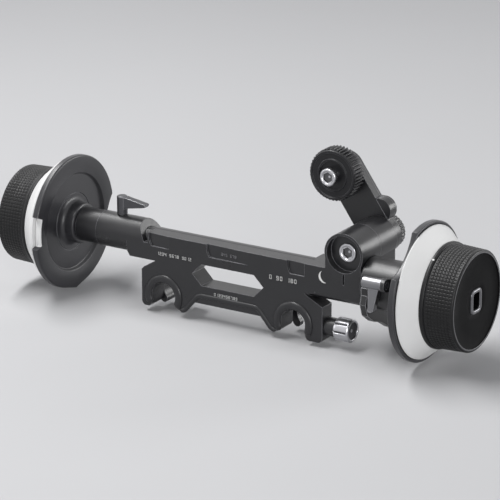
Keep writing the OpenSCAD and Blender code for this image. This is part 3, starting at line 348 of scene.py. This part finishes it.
# Finish of each carried-over node, by its slot in the record or by its own name
finishOfSlot = {
    "black_anodised": "blackAnodised", "bronze": "bronze", "bright_steel": "groundSteel",
    "gear_steel": "groundSteel", "silver_satin": "leverGrey", "white_ring": "whiteRing",
    "grip_black": "knurledBlack", "cap_black": "blackSmooth", "bright_screw": "brightScrew",
    "gear_brass": "gearBrass", "gear_black": "gearBlack", "core_grey": "clearAnodised",
    "pad": "dragPad", "chrome_knob": "chrome",
}
# the side bracket gets the finish with the stronger painted edge highlight
finishOfNode = {"left_lever": "gunmetal", "side_bracket": "wornAndLitBlack"}
slotOfNode = {row["node"]: row["material_slot"] for row in frame["record"]["subparts"]}
for name, node in nodes.items():
    node.data.materials.clear()
    node.data.materials.append(materials[finishOfNode.get(name, finishOfSlot[slotOfNode[name]])])
print("nodes are dressed:", len(nodes))


# How new pieces are made
def gridFaces(rows, columns, closeRows):
    # quads between neighbours on a grid whose columns run all the way round
    row, column = np.meshgrid(np.arange(rows if closeRows else rows - 1), np.arange(columns), indexing="ij")
    here, below = row * columns, (row + 1) % rows * columns
    beside = (column + 1) % columns
    return np.stack([here + column, here + beside, below + beside, below + column], -1).reshape(-1, 4)


def addMesh(name, points, faces, finishNames, body, replaced=(), sharp=35.0):
    # points in millimetres; edges that turn by more than the sharp angle stay crisp
    mesh = bpy.data.meshes.new(name)
    mesh.from_pydata((points * mm).tolist(), [], faces)
    build = bmesh.new()
    build.from_mesh(mesh)
    bmesh.ops.recalc_face_normals(build, faces=build.faces)
    build.to_mesh(mesh)
    build.free()
    mesh.shade_smooth()
    mesh.set_sharp_from_angle(angle=math.radians(sharp))
    for finish in finishNames:
        mesh.materials.append(materials[finish])
    piece = bpy.data.objects.new(name, mesh)
    scene.collection.objects.link(piece)
    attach(piece, body)
    if replaced:
        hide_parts(*replaced)
    return piece


def addPiece(name, grid, finish, body, replaced=(), ring=False, sharp=35.0, marks=None, others=()):
    # grid holds rows of points; a ring closes on itself, and any other piece gets flat ends.
    # marks say how deep each point lies in a pattern, which the finish darkens as painted shade in the cuts, and
    # others give some rows a finish of their own
    rows, columns = grid.shape[:2]
    faces = gridFaces(rows, columns, ring).tolist()
    if not ring:
        faces += [list(range(columns)), list(range((rows - 1) * columns, rows * columns))]
    names = [finish] + [otherFinish for otherFinish, itsRows in others]
    piece = addMesh(name, grid.reshape(-1, 3), faces, names, body, replaced, sharp)
    if marks is not None:
        layer = piece.data.attributes.new("groove", "FLOAT", "POINT")
        layer.data.foreach_set("value", np.asarray(marks, np.float32).ravel())
    rowOfFace = np.repeat(np.arange(rows if ring else rows - 1), columns)
    index = np.zeros(len(faces), np.int32)
    for order, (otherFinish, itsRows) in enumerate(others, 1):
        index[:len(rowOfFace)][np.isin(rowOfFace, itsRows)] = order
    piece.data.polygons.foreach_set("material_index", index)
    return piece


def turnAbout(axis, centre, along, radius, angle):
    # a point's place: so far along the axis, so far from it, at this angle round it
    along, radius, angle = np.broadcast_arrays(along, radius, angle)
    across, up = radius * np.cos(angle), radius * np.sin(angle)
    parts = {"x": (along, across, up), "y": (across, along, up)}[axis]
    return np.stack([part + c for part, c in zip(parts, centre)], -1)


def anglesOf(count):
    return np.arange(count) * 2 * math.pi / count


def spreadProfile(rows, angle, edge):
    # each row is a place along the axis, a radius, and the share of a shaped edge that is added to the radius
    table = np.array(rows)
    radius = table[:, 1][:, None] + table[:, 2][:, None] * edge[None, :]
    return table[:, 0][:, None], radius, angle[None, :]


def onWheel(side, along, radius, angle):
    # along is measured outwards from the inner face of the wheel unit
    return turnAbout("x", (unit["left"] if side < 0 else unit["right"], 0.0, unit["shaftZ"]),
        np.asarray(along) * side, radius, angle)


def wave(angle, count, width, soft):
    # rises from 0 to 1 inside each of the evenly spaced bands, with soft flanks
    phase = np.abs((angle * count / (2 * math.pi) + 0.5) % 1 - 0.5)
    t = np.clip((width / 2 + soft - phase) / (2 * soft), 0, 1)
    return t * t * (3 - 2 * t)


def roundCorner(a0, r0, a1, r1, steps, outward=True):
    # quarter of an ellipse from one point of an outline to the next
    t = np.linspace(0, math.pi / 2, steps + 1)[1:-1]
    if outward:
        return [(a0 + (a1 - a0) * (1 - math.cos(v)), r0 + (r1 - r0) * math.sin(v)) for v in t]
    return [(a0 + (a1 - a0) * math.sin(v), r0 + (r1 - r0) * (1 - math.cos(v))) for v in t]


# Hand wheel grips with square-cut knurling
grip = {"bore": 26.1, "spigot": 33.1, "spigotStart": 5.5, "base": 16.8, "flange": 35.9, "flangeEnd": 19.8,
    "start": 35.0, "end": 34.3, "front": 37.4, "bandEnd": 39.4, "runIn": 0.8, "step": 0.33,
    "pitch": 2.3, "depth": 0.3, "around": 92, "perTooth": 7, "cutWidth": 0.2, "cutFlank": 0.11}


def knurl(along, angle):
    # how deep the pattern is cut: one wave goes round the wheel and one along it, and the deeper counts
    g = grip
    start, end = g["flangeEnd"] + g["runIn"], g["bandEnd"]
    count = round((end - start) / g["pitch"])
    across = wave(angle, g["around"], g["cutWidth"], g["cutFlank"])
    lengthways = wave((along - start) / (end - start) * 2 * math.pi, count, g["cutWidth"], g["cutFlank"])
    fade = np.clip((along - start) / g["runIn"], 0, 1) * np.clip((end - along) / g["runIn"], 0, 1)
    return np.maximum(across, lengthways) * fade


def gripRows(side):
    # a closed outline turned round the shaft, whose gripping band is lowered by the pattern
    g = grip
    along = np.arange(g["flangeEnd"] + g["runIn"], g["front"], g["step"])
    before = [(g["spigotStart"], g["bore"]), (g["spigotStart"], g["spigot"]), (g["base"], g["spigot"]),
        (g["base"], g["flange"] - 0.5), (g["base"] + 0.15, g["flange"] - 0.15), (g["base"] + 0.5, g["flange"]),
        (g["flangeEnd"] - 1.4, g["flange"]), (g["flangeEnd"] - 0.7, g["flange"] - 0.12),
        (g["flangeEnd"] - 0.2, g["flange"] - 0.5), (g["flangeEnd"], g["start"] - 0.3)]
    after = [(g["front"], 0.0), (g["front"], g["bore"])]
    profile = np.array(before + [(a, 0.0) for a in along] + after)
    band = slice(len(before), len(before) + len(along) + 1)
    share = (profile[band, 0] - g["flangeEnd"]) / (g["front"] - g["flangeEnd"])
    profile[band, 1] = g["start"] + (g["end"] - g["start"]) * share
    angle = anglesOf(g["around"] * g["perTooth"])[None, :]
    radius = profile[:, 1][:, None] + 0 * angle
    groove = np.zeros_like(radius)
    groove[band] = knurl(profile[band, 0][:, None], angle)
    radius -= g["depth"] * groove
    return onWheel(side, profile[:, 0][:, None], radius, angle), groove


def roundedRectRadius(angle, width, height, corner):
    # distance from the middle to the edge of a rectangle with round corners, along each angle
    c, s = np.abs(np.cos(angle)), np.abs(np.sin(angle))
    plain = np.minimum(width / 2 / np.maximum(c, 1e-9), height / 2 / np.maximum(s, 1e-9))
    cx, cy = width / 2 - corner, height / 2 - corner
    b = c * cx + s * cy
    arc = b + np.sqrt(np.maximum(b * b - (cx * cx + cy * cy - corner * corner), 0))
    return np.where((arc * c > cx) & (arc * s > cy), arc, plain)


# End caps with a raised rim and a sunk face
cap = {"plug": 25.9, "floor": 29.5, "front": 37.4, "shoulder": 39.5, "length": 40.8, "end": 34.25, "rim": 32.6,
    "rimWidth": 0.7, "sink": 0.95, "seam": 0.02, "step": 0.3, "middle": (22.0, 14.0),
    "socketWidth": 14.6, "socketHeight": 17.1, "socketRound": 4.0}


def capRows(side):
    # a closed outline turned round the shaft, whose innermost stretch follows the socket's rounded rectangle
    c = cap
    flat = c["rim"] - c["rimWidth"]
    sunk = c["length"] - c["sink"]
    start = c["front"] + c["seam"]
    outline = [(c["floor"], 0, 1), (c["floor"], c["plug"], 0), (start, c["plug"], 0)]
    outline += [(a, c["end"], 0) for a in np.arange(start, c["shoulder"] + 0.05, c["step"])]
    outline += [(c["shoulder"] + (c["length"] - c["shoulder"]) * math.sin(t),
        c["rim"] + (c["end"] - c["rim"]) * math.cos(t), 0) for t in np.linspace(0, math.pi / 2, 9)[1:]]
    outline += [(c["length"], flat + 0.15, 0), (c["length"] - 0.15, flat, 0)]
    firstSunk = len(outline)
    outline += [(sunk + 0.1, flat - 0.1, 0), (sunk, flat - 0.3, 0)] + [(sunk, r, 0) for r in c["middle"]]
    outline += [(sunk, 0, 1.04), (sunk - 0.2, 0, 1)]
    angle = anglesOf(grip["around"] * grip["perTooth"])
    socketEdge = roundedRectRadius(angle, c["socketWidth"], c["socketHeight"], c["socketRound"])
    along, radius, angle = spreadProfile(outline, angle, socketEdge)
    onBand = np.array([row[1] == c["end"] for row in outline])[:, None]
    groove = np.where(onBand, knurl(along, angle), 0)
    radius = radius - grip["depth"] * groove
    sunkRows = list(range(firstSunk - 1, len(outline)))
    rimRows = list(range(firstSunk - 4, firstSunk - 1))
    return onWheel(side, along, radius, angle), sunkRows, rimRows, groove


# Whip sockets with a rounded lip
socket = {"floor": 29.5, "top": 40.8, "width": 14.4, "height": 16.9, "round": 4.0, "innerWidth": 9.0,
    "innerHeight": 11.4, "innerRound": 2.0, "depth": 9.0, "crest": 1.0}


def socketRows(side):
    # walls between an outer and an inner rounded rectangle, joined over a rounded lip; the end is the floor
    s = socket
    angle = anglesOf(256)
    outer = roundedRectRadius(angle, s["width"], s["height"], s["round"])
    inner = roundedRectRadius(angle, s["innerWidth"], s["innerHeight"], s["innerRound"])
    top, crest = s["top"], s["crest"]
    turn = np.linspace(0, math.pi, 11)[1:-1]
    rows = [(s["floor"], 1.0), (top - crest, 1.0)]
    rows += [(top - crest + crest * math.sin(t), 0.5 + 0.5 * math.cos(t)) for t in turn]
    firstInner = len(rows)
    rows += [(top - crest, 0.0), (top - s["depth"], 0.0)]
    along, share = np.array(rows).T[:, :, None]
    return onWheel(side, along, inner + (outer - inner) * share, angle[None, :]), [firstInner]


# Index plates: rim with a round cut, a notch and a pointer; a soft groove, a thin ring and a stepped collar
plate = {"rim": 47.4, "web": 2.4, "skirt": 4.8, "bore": 8.2, "grooveIn": 32.8, "grooveOut": 35.4, "grooveDeep": 0.7,
    "roundOver": 1.3, "pocket": (37.0, 33.0), "cutRadius": 40.0, "cutAt": 79.4, "cutReach": 0.6, "pointer": 1.7,
    "notch": (162.0, 190.0), "notchRadius": 42.4, "notchFlank": 0.8, "angles": 1080}
plateSides = {
    -1: {"cut": -12.0, "notched": True, "collar": 9.4, "collarRadius": 14.3, "foot": 18.0, "lift": 2.0},
    1: {"cut": 132.0, "notched": False, "collar": 2.3, "collarRadius": 16.6, "foot": 17.4, "lift": 0.0},
}


def plateRim(angle, given):
    # the rim's radius at each angle: the circle, less the near side of the round cut's circle, less the notch,
    # and the longer of circle and the straight flanks that meet at the pointer
    p = plate
    rim = np.full_like(angle, p["rim"])
    off = (angle - math.radians(given["cut"]) + math.pi) % (2 * math.pi) - math.pi
    reach = np.clip(p["cutRadius"] ** 2 - (p["cutAt"] * np.sin(off)) ** 2, 0, None)
    near = p["cutAt"] * np.cos(off) - np.sqrt(reach)
    rim = np.where((np.abs(off) < p["cutReach"]) & (reach > 0), np.minimum(rim, near), rim)
    if given["notched"]:
        past = (np.degrees(angle) - p["notch"][0]) / p["notchFlank"]
        left = (p["notch"][1] - np.degrees(angle)) / p["notchFlank"]
        rim = rim - (p["rim"] - p["notchRadius"]) * np.clip(past, 0, 1) * np.clip(left, 0, 1)
        tip = p["rim"] + p["pointer"]
        flank = math.acos(p["rim"] / tip)
        down = np.abs((angle - 1.5 * math.pi + math.pi) % (2 * math.pi) - math.pi)
        straight = p["rim"] / np.maximum(np.cos(flank - down), 0.5)
        rim = np.where(down < flank, np.minimum(straight, tip - 0.05), rim)
    return rim


def plateRows(side):
    # a closed outline turned round the shaft: collar, foot, thin ring, groove, then the rim and the hollow back
    p, given = plate, plateSides[side]
    angle = anglesOf(p["angles"])
    collar, foot, mid, up = given["collar"], given["foot"], given["collarRadius"], -given["lift"]
    corner, waist = -collar + min(1.1, collar / 3), -min(3.2, collar * 0.6)
    rows = [(-collar, p["bore"], 0), (-collar, mid - 1.5, 0)]
    rows += [(a, r, 0) for a, r in roundCorner(-collar, mid - 1.5, corner, mid, 4)]
    rows += [(corner, mid, 0), (waist, mid, 0)]
    rows += [(a, r, 0) for a, r in roundCorner(waist, mid, 0.0, foot, 6, False)]
    rows += [(0.0, foot, 0)] + [(a, foot + r, 0) for a, r in ((0.0, 1.9), (0.45, 2.1), (0.45, 2.6), (0.0, 2.8))]
    t = np.linspace(0, 1, 13)
    depth = p["grooveDeep"] * (0.5 - 0.5 * np.cos(t * 2 * math.pi)) + up * (0.5 - 0.5 * np.cos(t * math.pi))
    rows += [(a, r, 0) for a, r in zip(depth, p["grooveIn"] + (p["grooveOut"] - p["grooveIn"]) * t)]
    rows += [(up + p["roundOver"] * (1 - math.cos(v)), p["roundOver"] * (math.sin(v) - 1), 1)
        for v in np.linspace(0, math.pi / 2, 7)]
    back, web = p["skirt"] + up, p["web"]
    rows += [(back - 0.6, 0, 1), (back, -0.6, 1), (back, -1.9, 1), (web + up, -2.1, 1),
        (web + up, p["pocket"][0], 0), (web, p["pocket"][1], 0), (web, p["bore"], 0)]
    edgeRows = [order for order, row in enumerate(rows) if row[2] > 0]
    return onWheel(side, *spreadProfile(rows, angle, plateRim(angle, given))), edgeRows


def paintNotch(piece, edgeRows):
    # painted light: the notch's floor is painted white, standing in for the lit white ring that shows through the
    # notch where the ring's back lies in shade; these are the faces on the rim's rows that lie between the notch's
    # two flanks
    p = plate
    piece.data.materials.append(materials["whiteRing"])
    flanks = (p["notch"][0] + p["notchFlank"], p["notch"][1] - p["notchFlank"])
    low, high = (round(flank / 360 * p["angles"]) for flank in flanks)
    faces = (np.array(edgeRows[1:-1])[:, None] * p["angles"] + np.arange(low, high)[None, :]).ravel()
    index = np.zeros(len(piece.data.polygons), np.int32)
    index[faces] = 1
    piece.data.polygons.foreach_set("material_index", index)


# White cone of the left wheel, whose wide edge stands beside the plate
whiteRing = {"bore": 33.2, "start": 3.1, "end": 16.75, "edge": 45.0, "front": 35.4, "seat": 37.4}


def whiteRingRows(side):
    # a closed outline turned round the shaft: hollow back, rounded edge, then the cone down to the grip
    w = whiteRing
    start, end, edge = w["start"], w["end"], w["edge"]
    rows = [(end, w["bore"]), (start + 2.0, w["bore"]), (start + 2.0, w["seat"]), (start, w["seat"] + 0.4),
        (start, edge - 1.0), (start + 0.3, edge - 0.3), (start + 1.0, edge), (start + 2.4, edge),
        (start + 2.9, edge - 0.3), (end - 0.4, w["front"] + 0.3), (end, w["front"] - 0.1)]
    along, radius = np.array(rows).T[:, :, None]
    return onWheel(side, along, radius, anglesOf(360)[None, :])


addPiece("leftWhiteRing", whiteRingRows(-1), "whiteRing", "wheels", ("left_marking_ring",), True)

for side, sideName in ((-1, "left"), (1, "right")):
    rows, groove = gripRows(side)
    addPiece(sideName + "Grip", rows, "knurledBlack", "wheels", (sideName + "_wheel",), True,
        marks=groove)
    rows, sunkRows, rimRows, groove = capRows(side)
    # the nose's rim rows get a lighter grey as a painted highlight
    # the nose's sunk face is painted near black as shade
    addPiece(sideName + "Nose", rows, "knurledBlack", "wheels", (sideName + "_wheel_cap",), True,
        marks=groove, others=(("paintedShadeBlack", sunkRows), ("rimHighlight", rimRows)))
    rows, innerRows = socketRows(side)
    # painted shade: the socket's inner walls are near black
    addPiece(sideName + "Socket", rows, "socketGrey", "wheels", (sideName + "_whip_socket",),
        sharp=60.0, others=(("paintedShadeBlack", innerRows),))
    rows, edgeRows = plateRows(side)
    piece = addPiece(sideName + "Plate", rows, "plateGrey", sideName + "_index",
        (sideName + "_index_plate",), True)
    # the notch's floor is painted white as painted light
    if plateSides[side]["notched"]:
        paintNotch(piece, edgeRows)
print("wheels and plates are made")


# Socket screws with bright heads
screws = {
    "gearScrew": {"centre": (61.43, 0, 96.23), "face": 15.4, "back": 19.6, "end": 23.05, "head": 6.1, "neck": 4.2,
        "round": 1.0, "mouth": 4.5, "hex": 6.4, "deep": 2.4, "body": "focus", "node": "gear_screw"},
    "capScrew": {"centre": (90.55, 0, 55.1), "face": -7.6, "back": -6.42, "end": -4.2, "head": 6.4, "neck": 4.4,
        "round": 0.6, "mouth": 4.9, "hex": 6.6, "deep": 2.6, "body": "bridge", "node": "cross_cap_screw"},
}


def hexRadius(angle, flat):
    # distance from the middle to the side of a hexagon, along each angle
    return flat / 2 / np.cos((angle + math.pi / 6) % (math.pi / 3) - math.pi / 6)


def screwRows(look):
    # a turned head whose recess runs from a round mouth into a hexagon; the last row is the recess's floor
    angle = anglesOf(96)
    head, back, face, deep = look["head"], look["back"], look["face"], look["deep"]
    top = head - look["round"]
    rows = [(look["end"], look["neck"], 0), (back, look["neck"], 0), (back, head - 0.3, 0), (back - 0.3, head, 0)]
    rows += [(a, r, 0) for a, r in roundCorner(face + look["round"], head, face, top, 6, False)]
    rows += [(face, top, 0), (face, look["mouth"], 0), (face + 0.45, look["mouth"] - 0.5, 0),
        (face + 0.5, 0, 1.02), (face + deep, 0, 1), (face + deep + 0.5, 0, 0.25)]
    grid = turnAbout("y", look["centre"], *spreadProfile(rows, angle, hexRadius(angle, look["hex"])))
    return grid, [len(rows) - 3, len(rows) - 2]


for name, look in screws.items():
    rows, recess = screwRows(look)
    # the hex recess is painted darker than the head as shade
    addPiece(name, rows, "brightScrew", look["body"], (look["node"],),
        others=(("recessShade", recess),))
print("screws are made")


# Focus gear with a dished face
wheelGear = {"centre": (61.43, 0, 96.23), "front": 21.5, "back": 33.5, "tip": 18.24, "root": 16.55, "teeth": 44,
    "toothWidth": 0.42, "toothFlank": 0.1, "recess": 10.1, "floor": 23.1, "bore": 4.1, "dish": 0.8}


def gearRows():
    # tooth tips and roots alternate with soft flanks; the face steps down between the teeth and a raised ring
    g = wheelGear
    angle = anglesOf(g["teeth"] * 12)
    edge = g["root"] + (g["tip"] - g["root"]) * wave(angle, g["teeth"], g["toothWidth"], g["toothFlank"])
    front, back, dish = g["front"], g["back"], g["front"] + g["dish"]
    rows = [(back, g["bore"], 0), (back, -0.4, 1), (back - 0.35, 0, 1), (front + 2.2, 0, 1), (front + 1.5, -0.15, 1)]
    shoulder = ((1.2, 17.35), (0.5, 17.2), (0.12, 16.9), (0, 16.5), (0, 15.75), (0.15, 15.55))
    rows += [(front + a, r, 0) for a, r in shoulder]
    rows += [(dish, 15.2, 0), (dish, 11.5, 0)]
    rows += [(front + a, r, 0) for a, r in ((0.2, 11.2), (0.05, 11.0), (0.05, 10.4), (0.2, g["recess"]))]
    rows += [(g["floor"], g["recess"] - 0.1, 0), (g["floor"], g["bore"], 0)]
    return turnAbout("y", g["centre"], *spreadProfile(rows, angle, edge))


addPiece("focusWheel", gearRows(), "gearBlack", "focus", ("focus_gear",), True, sharp=30.0)


# Fluted knobs
clampKnob = {"centre": (82.5, -4.8, 0), "length": 11.8, "radius": 8.1, "flutes": 8, "cut": 1.3, "fluteWidth": 0.16,
    "fluteFlank": 0.09}
dragKnob = {"centre": (90.55, 44.5, 55.1), "length": 6.5, "radius": 12.0, "flutes": 30, "cut": 0.55,
    "fluteWidth": 0.4, "fluteFlank": 0.2, "stud": 3.0, "studLength": 5.2}


def clampKnobRows():
    # broad ribs with narrow flutes that run out before the bevelled end, whose middle is sunk
    k = clampKnob
    angle = anglesOf(k["flutes"] * 24)
    flute = wave(angle, k["flutes"], k["fluteWidth"], k["fluteFlank"])
    end, radius = k["length"], k["radius"]
    rows = [(0, radius - 1.0, 0), (0.5, radius - 0.3, 0.8), (1.0, radius, 1), (end * 0.25, radius, 1),
        (end - 2.2, radius, 1), (end - 1.7, radius, 0.55), (end - 1.3, radius, 0), (end - 1.0, radius, 0),
        (end - 0.8, radius - 0.1, 0), (end - 0.2, radius - 0.6, 0), (end, radius - 0.9, 0),
        (end, 6.2, 0), (end - 0.3, 5.9, 0), (end - 1.3, 5.7, 0), (end - 1.3, 1.2, 0)]
    shade = np.array([row[2] for row in rows])[:, None] * flute[None, :]
    grid = turnAbout("x", k["centre"], *spreadProfile(rows, angle, -k["cut"] * flute))
    return grid, [len(rows) - 3, len(rows) - 2], shade


def dragKnobRows():
    # fine flutes on a flat knob with a stud behind it and a sunk face
    k = dragKnob
    angle = anglesOf(k["flutes"] * 12)
    flute = wave(angle, k["flutes"], k["fluteWidth"], k["fluteFlank"])
    end, radius = k["length"], k["radius"]
    rows = [(-k["studLength"], k["stud"], 0), (0, k["stud"], 0), (0, radius - 1.2, 0), (0.3, radius - 0.5, 0.3),
        (0.9, radius, 1), (end * 0.5, radius, 1), (end - 1.0, radius, 1), (end - 0.4, radius - 0.5, 0.3),
        (end, radius - 1.3, 0), (end, radius - 3.4, 0), (end - 0.5, radius - 3.8, 0), (end - 0.6, 2.0, 0)]
    return turnAbout("y", k["centre"], *spreadProfile(rows, angle, -k["cut"] * flute))


rows, sunkRows, shade = clampKnobRows()
addPiece("clampGrip", rows, "chrome", "clamp_grip", ("clamp_knob",), marks=shade,
    others=(("knobEnd", sunkRows),))
addPiece("dragGrip", dragKnobRows(), "blackAnodised", "drag", ("drag_knob",))
print("gear and knobs are made")


# Raised lips round the rod seats
lip = {"seats": (-52.0, 52.0), "radius": 12.4, "half": 2.9, "rise": 1.6, "y": -12.38, "root": 0.3,
    "from": -34.0, "to": 214.0, "runOut": 0.18}


def beadFace(look, ends, turn):
    # the bead's face: a raised half ellipse towards the viewer, flat at the back, sunk by its root
    return look["y"] + look["root"] - (look["root"] + look["rise"] * ends) * np.maximum(np.sin(turn), 0) ** 0.8


def lipRows(seatX):
    # a bead carried along an arc about the seat's axis, let down at both ends
    arc = np.radians(np.linspace(lip["from"], lip["to"], 73))[:, None]
    turn = anglesOf(25)[None, :]
    ends = np.clip(np.minimum(arc - arc[0], arc[-1] - arc) / lip["runOut"], 0.05, 1) ** 0.5
    radius = lip["radius"] + lip["half"] * ends * np.cos(turn)
    return np.stack([seatX + radius * np.cos(arc), beadFace(lip, ends, turn), radius * np.sin(arc)], -1)


for seatX, sideName in zip(lip["seats"], ("left", "right")):
    addPiece(sideName + "Lip", lipRows(seatX), "blackAnodised", "bridge")


# Band along the saddle's lower edge, from foot to foot
edgeBand = {"path": ((-38.9, -7.6), (-36.4, -7.9), (-34.4, -6.9), (-24.6, 4.6), (-22.6, 5.6), (0.0, 5.6),
    (22.6, 5.6), (24.6, 4.6), (34.4, -6.9), (36.4, -7.9), (38.9, -7.6)), "half": 1.7, "rise": 0.9, "y": -12.38,
    "root": 0.3, "runOut": 2.0, "smoothing": 6}


def bandRows():
    # a bead carried along a path whose corners are smoothed by averaging neighbours
    e = edgeBand
    path = np.array(e["path"])
    length = np.concatenate([[0], np.cumsum(np.linalg.norm(np.diff(path, axis=0), axis=1))])
    at = np.linspace(0, length[-1], 140)
    line = np.stack([np.interp(at, length, path[:, i]) for i in (0, 1)], -1)
    for sweep in range(e["smoothing"]):
        line[1:-1] = (line[:-2] + 2 * line[1:-1] + line[2:]) / 4
    along = np.gradient(line, axis=0)
    along /= np.linalg.norm(along, axis=1)[:, None]
    turn = anglesOf(17)[None, :]
    ends = np.clip(np.minimum(at, at[-1] - at) / e["runOut"], 0.1, 1)[:, None] ** 0.5
    offset = e["half"] * ends * np.cos(turn)
    return np.stack([line[:, :1] - along[:, 1:] * offset, beadFace(e, ends, turn),
        line[:, 1:] + along[:, :1] * offset], -1)


addPiece("lowerBand", bandRows(), "blackAnodised", "bridge")
print("lips are made")


# The seats' walls run on behind the bridge
wall = {"inner": 9.52, "outer": 15.0, "from": -38.0, "to": 220.0, "back": 12.8, "starts": (2.6, 8.7)}


def wallRows(seatX, startY):
    # a C-shaped section, an outer and an inner arc joined by round ends, carried backwards
    w = wall
    arc = np.radians(np.linspace(w["from"], w["to"], 61))
    middle, half = (w["outer"] + w["inner"]) / 2, (w["outer"] - w["inner"]) / 2
    turn = np.linspace(0, math.pi, 9)[1:-1]
    radius = [np.full(61, w["outer"]), middle + half * np.cos(turn), np.full(61, w["inner"]),
        middle - half * np.cos(turn)]
    angle = [arc, arc[-1] + half * np.sin(turn) / middle, arc[::-1], arc[0] - half * np.sin(turn) / middle]
    radius, angle = np.concatenate(radius), np.concatenate(angle)
    y = np.array([startY, w["back"] - 0.5, w["back"]])[:, None]
    x, z = seatX + radius * np.cos(angle), radius * np.sin(angle)
    return np.stack(np.broadcast_arrays(x[None, :], y, z[None, :]), -1)


for seatX, startY, sideName in zip(lip["seats"], wall["starts"], ("left", "right")):
    addPiece(sideName + "SeatWall", wallRows(seatX, startY), "blackAnodised", "bridge")
print("seat walls are made")


# Printed marks, a tick on the right wheel and plain numbers, and a painted highlight: a white crescent on the front
# face for the lit rim of a round recess
crescent = {"middle": (76.0, 37.1), "radius": 4.3, "from": 118.0, "to": 292.0, "width": 1.6, "tip": 0.05,
    "y": -12.4, "sunk": 0.02, "thick": 0.05}


def crescentRows():
    # an arc, and the same arc drawn inwards by a width that swells as a half sine
    c = crescent
    angle = np.linspace(math.radians(c["from"]), math.radians(c["to"]), 25)
    width = np.sin((angle - angle[0]) / (angle[-1] - angle[0]) * math.pi) * c["width"] + c["tip"]
    radius = np.concatenate([np.full(25, c["radius"]), (c["radius"] - width)[::-1]])
    angle = np.concatenate([angle, angle[::-1]])
    x, z = c["middle"][0] + radius * np.cos(angle), c["middle"][1] + radius * np.sin(angle)
    y = np.array([c["y"] + c["sunk"], c["y"] - c["thick"]])[:, None]
    return np.stack(np.broadcast_arrays(x[None, :], y, z[None, :]), -1)


# painted highlight: a white crescent where the rim of a round recess catches the light
addPiece("crescentHighlight", crescentRows(), "whiteMark", "bridge")

tick = {"start": 17.4, "end": 19.0, "angle": 122.9, "half": 0.9, "radius": 35.88, "sunk": 0.3, "thick": 0.06}


def tickRows():
    # a small bent plate on the flange of the right wheel
    turn = np.radians(tick["angle"] + np.linspace(-tick["half"], tick["half"], 7))
    turn = np.concatenate([turn, turn[::-1]])
    along = np.repeat([tick["start"], tick["end"]], 7)
    radius = np.array([tick["radius"] - tick["sunk"], tick["radius"] + tick["thick"]])[:, None]
    return onWheel(1, along[None, :], radius, turn[None, :])


addPiece("tickMark", tickRows(), "whiteMark", "wheels")

numberMarks = {
    "seatNumbers": {"text": "1234 5678 9012", "start": (-56.8, 31.2), "y": -12.4, "tilt": 0.0, "height": 1.9,
        "finish": "whiteMark"},
    "lowNumbers": {"text": "0123456789", "start": (-10.6, 9.6), "y": -12.4, "tilt": 0.0, "height": 1.8,
        "finish": "whiteMark"},
    "angleNumbers": {"text": "0 90 180", "start": (33.5, 31.0), "y": -12.4, "tilt": 0.0, "height": 2.6,
        "finish": "whiteMark"},
    "pocketNumbers": {"text": "345 678", "start": (-5.2, 39.2), "y": -11.5, "tilt": -0.0412, "height": 1.7,
        "finish": "socketGrey"},
}
digit = {"wide": 0.55, "stroke": 0.17, "step": 1.07, "thick": 0.05, "sunk": 0.1}
strokesOf = {"0": "abcdef", "1": "bc", "2": "abged", "3": "abgcd", "4": "fgbc", "5": "afgcd", "6": "afgcde",
    "7": "abc", "8": "abcdefg", "9": "abcdfg"}
strokeEnds = {"a": (0, 2, 1, 2), "b": (1, 1, 1, 2), "c": (1, 0, 1, 1), "d": (0, 0, 1, 0), "e": (0, 0, 0, 1),
    "f": (0, 1, 0, 2), "g": (0, 1, 1, 1)}
boxFaces = ((0, 1, 3, 2), (4, 6, 7, 5), (0, 4, 5, 1), (2, 3, 7, 6), (0, 2, 6, 4), (1, 5, 7, 3))


def numberBoxes(mark):
    # each digit is up to seven straight strokes, each a thin box; widths are shares of the height
    points, faces = [], []
    tall = mark["height"]
    wide, half, step = digit["wide"] * tall, digit["stroke"] * tall / 2, digit["step"] * tall
    for place, letter in enumerate(mark["text"]):
        left, base = mark["start"][0] + place * step, mark["start"][1] - tall
        face = mark["y"] + mark["tilt"] * place * step
        for stroke in strokesOf.get(letter, ""):
            x0, z0, x1, z1 = strokeEnds[stroke]
            xs = (left + x0 * wide - half, left + x1 * wide + half)
            ys = (face - digit["thick"], face + digit["sunk"])
            zs = (base + z0 * tall / 2 - half, base + z1 * tall / 2 + half)
            faces += [[len(points) + corner for corner in quad] for quad in boxFaces]
            points += [(x, y, z) for x in xs for y in ys for z in zs]
    return points, faces


for name, mark in numberMarks.items():
    points, faces = numberBoxes(mark)
    addMesh(name, np.array(points), faces, (mark["finish"],), "bridge")
print("marks are made")


# Floor, just under the lowest point
floor = {"size": 6.0, "gap": 0.0006, "colour": (0.56, 0.56, 0.57), "shade": (0.53, 0.53, 0.54), "rough": 0.8,
    "mottle": 3.0}
half, floorZ = floor["size"] / 2, cadBox[0][2] - floor["gap"]
floorMesh = bpy.data.meshes.new("floor")
corners = [(x, y, floorZ) for x, y in ((-half, -half), (half, -half), (half, half), (-half, half))]
floorMesh.from_pydata(corners, [], [(0, 1, 2, 3)])
floorObject = bpy.data.objects.new("floor", floorMesh)
scene.collection.objects.link(floorObject)
floorMaterial = bpy.data.materials.new("paleFloor")
floorMaterial.use_nodes = True
tree = floorMaterial.node_tree
shader = tree.nodes["Principled BSDF"]
place = addNode(tree, "ShaderNodeTexCoord")
mottle = addNode(tree, "ShaderNodeTexNoise",
    {"Vector": place.outputs["Object"], "Scale": floor["mottle"], "Detail": 4.0})
tone = addNode(tree, "ShaderNodeMix", {"Factor": mottle.outputs[0], 6: colour(floor["colour"]),
    7: colour(floor["shade"])}, data_type="RGBA")
tree.links.new(tone.outputs[2], shader.inputs["Base Color"])
shader.inputs["Roughness"].default_value = floor["rough"]
floorMesh.materials.append(floorMaterial)
print("floor is laid")
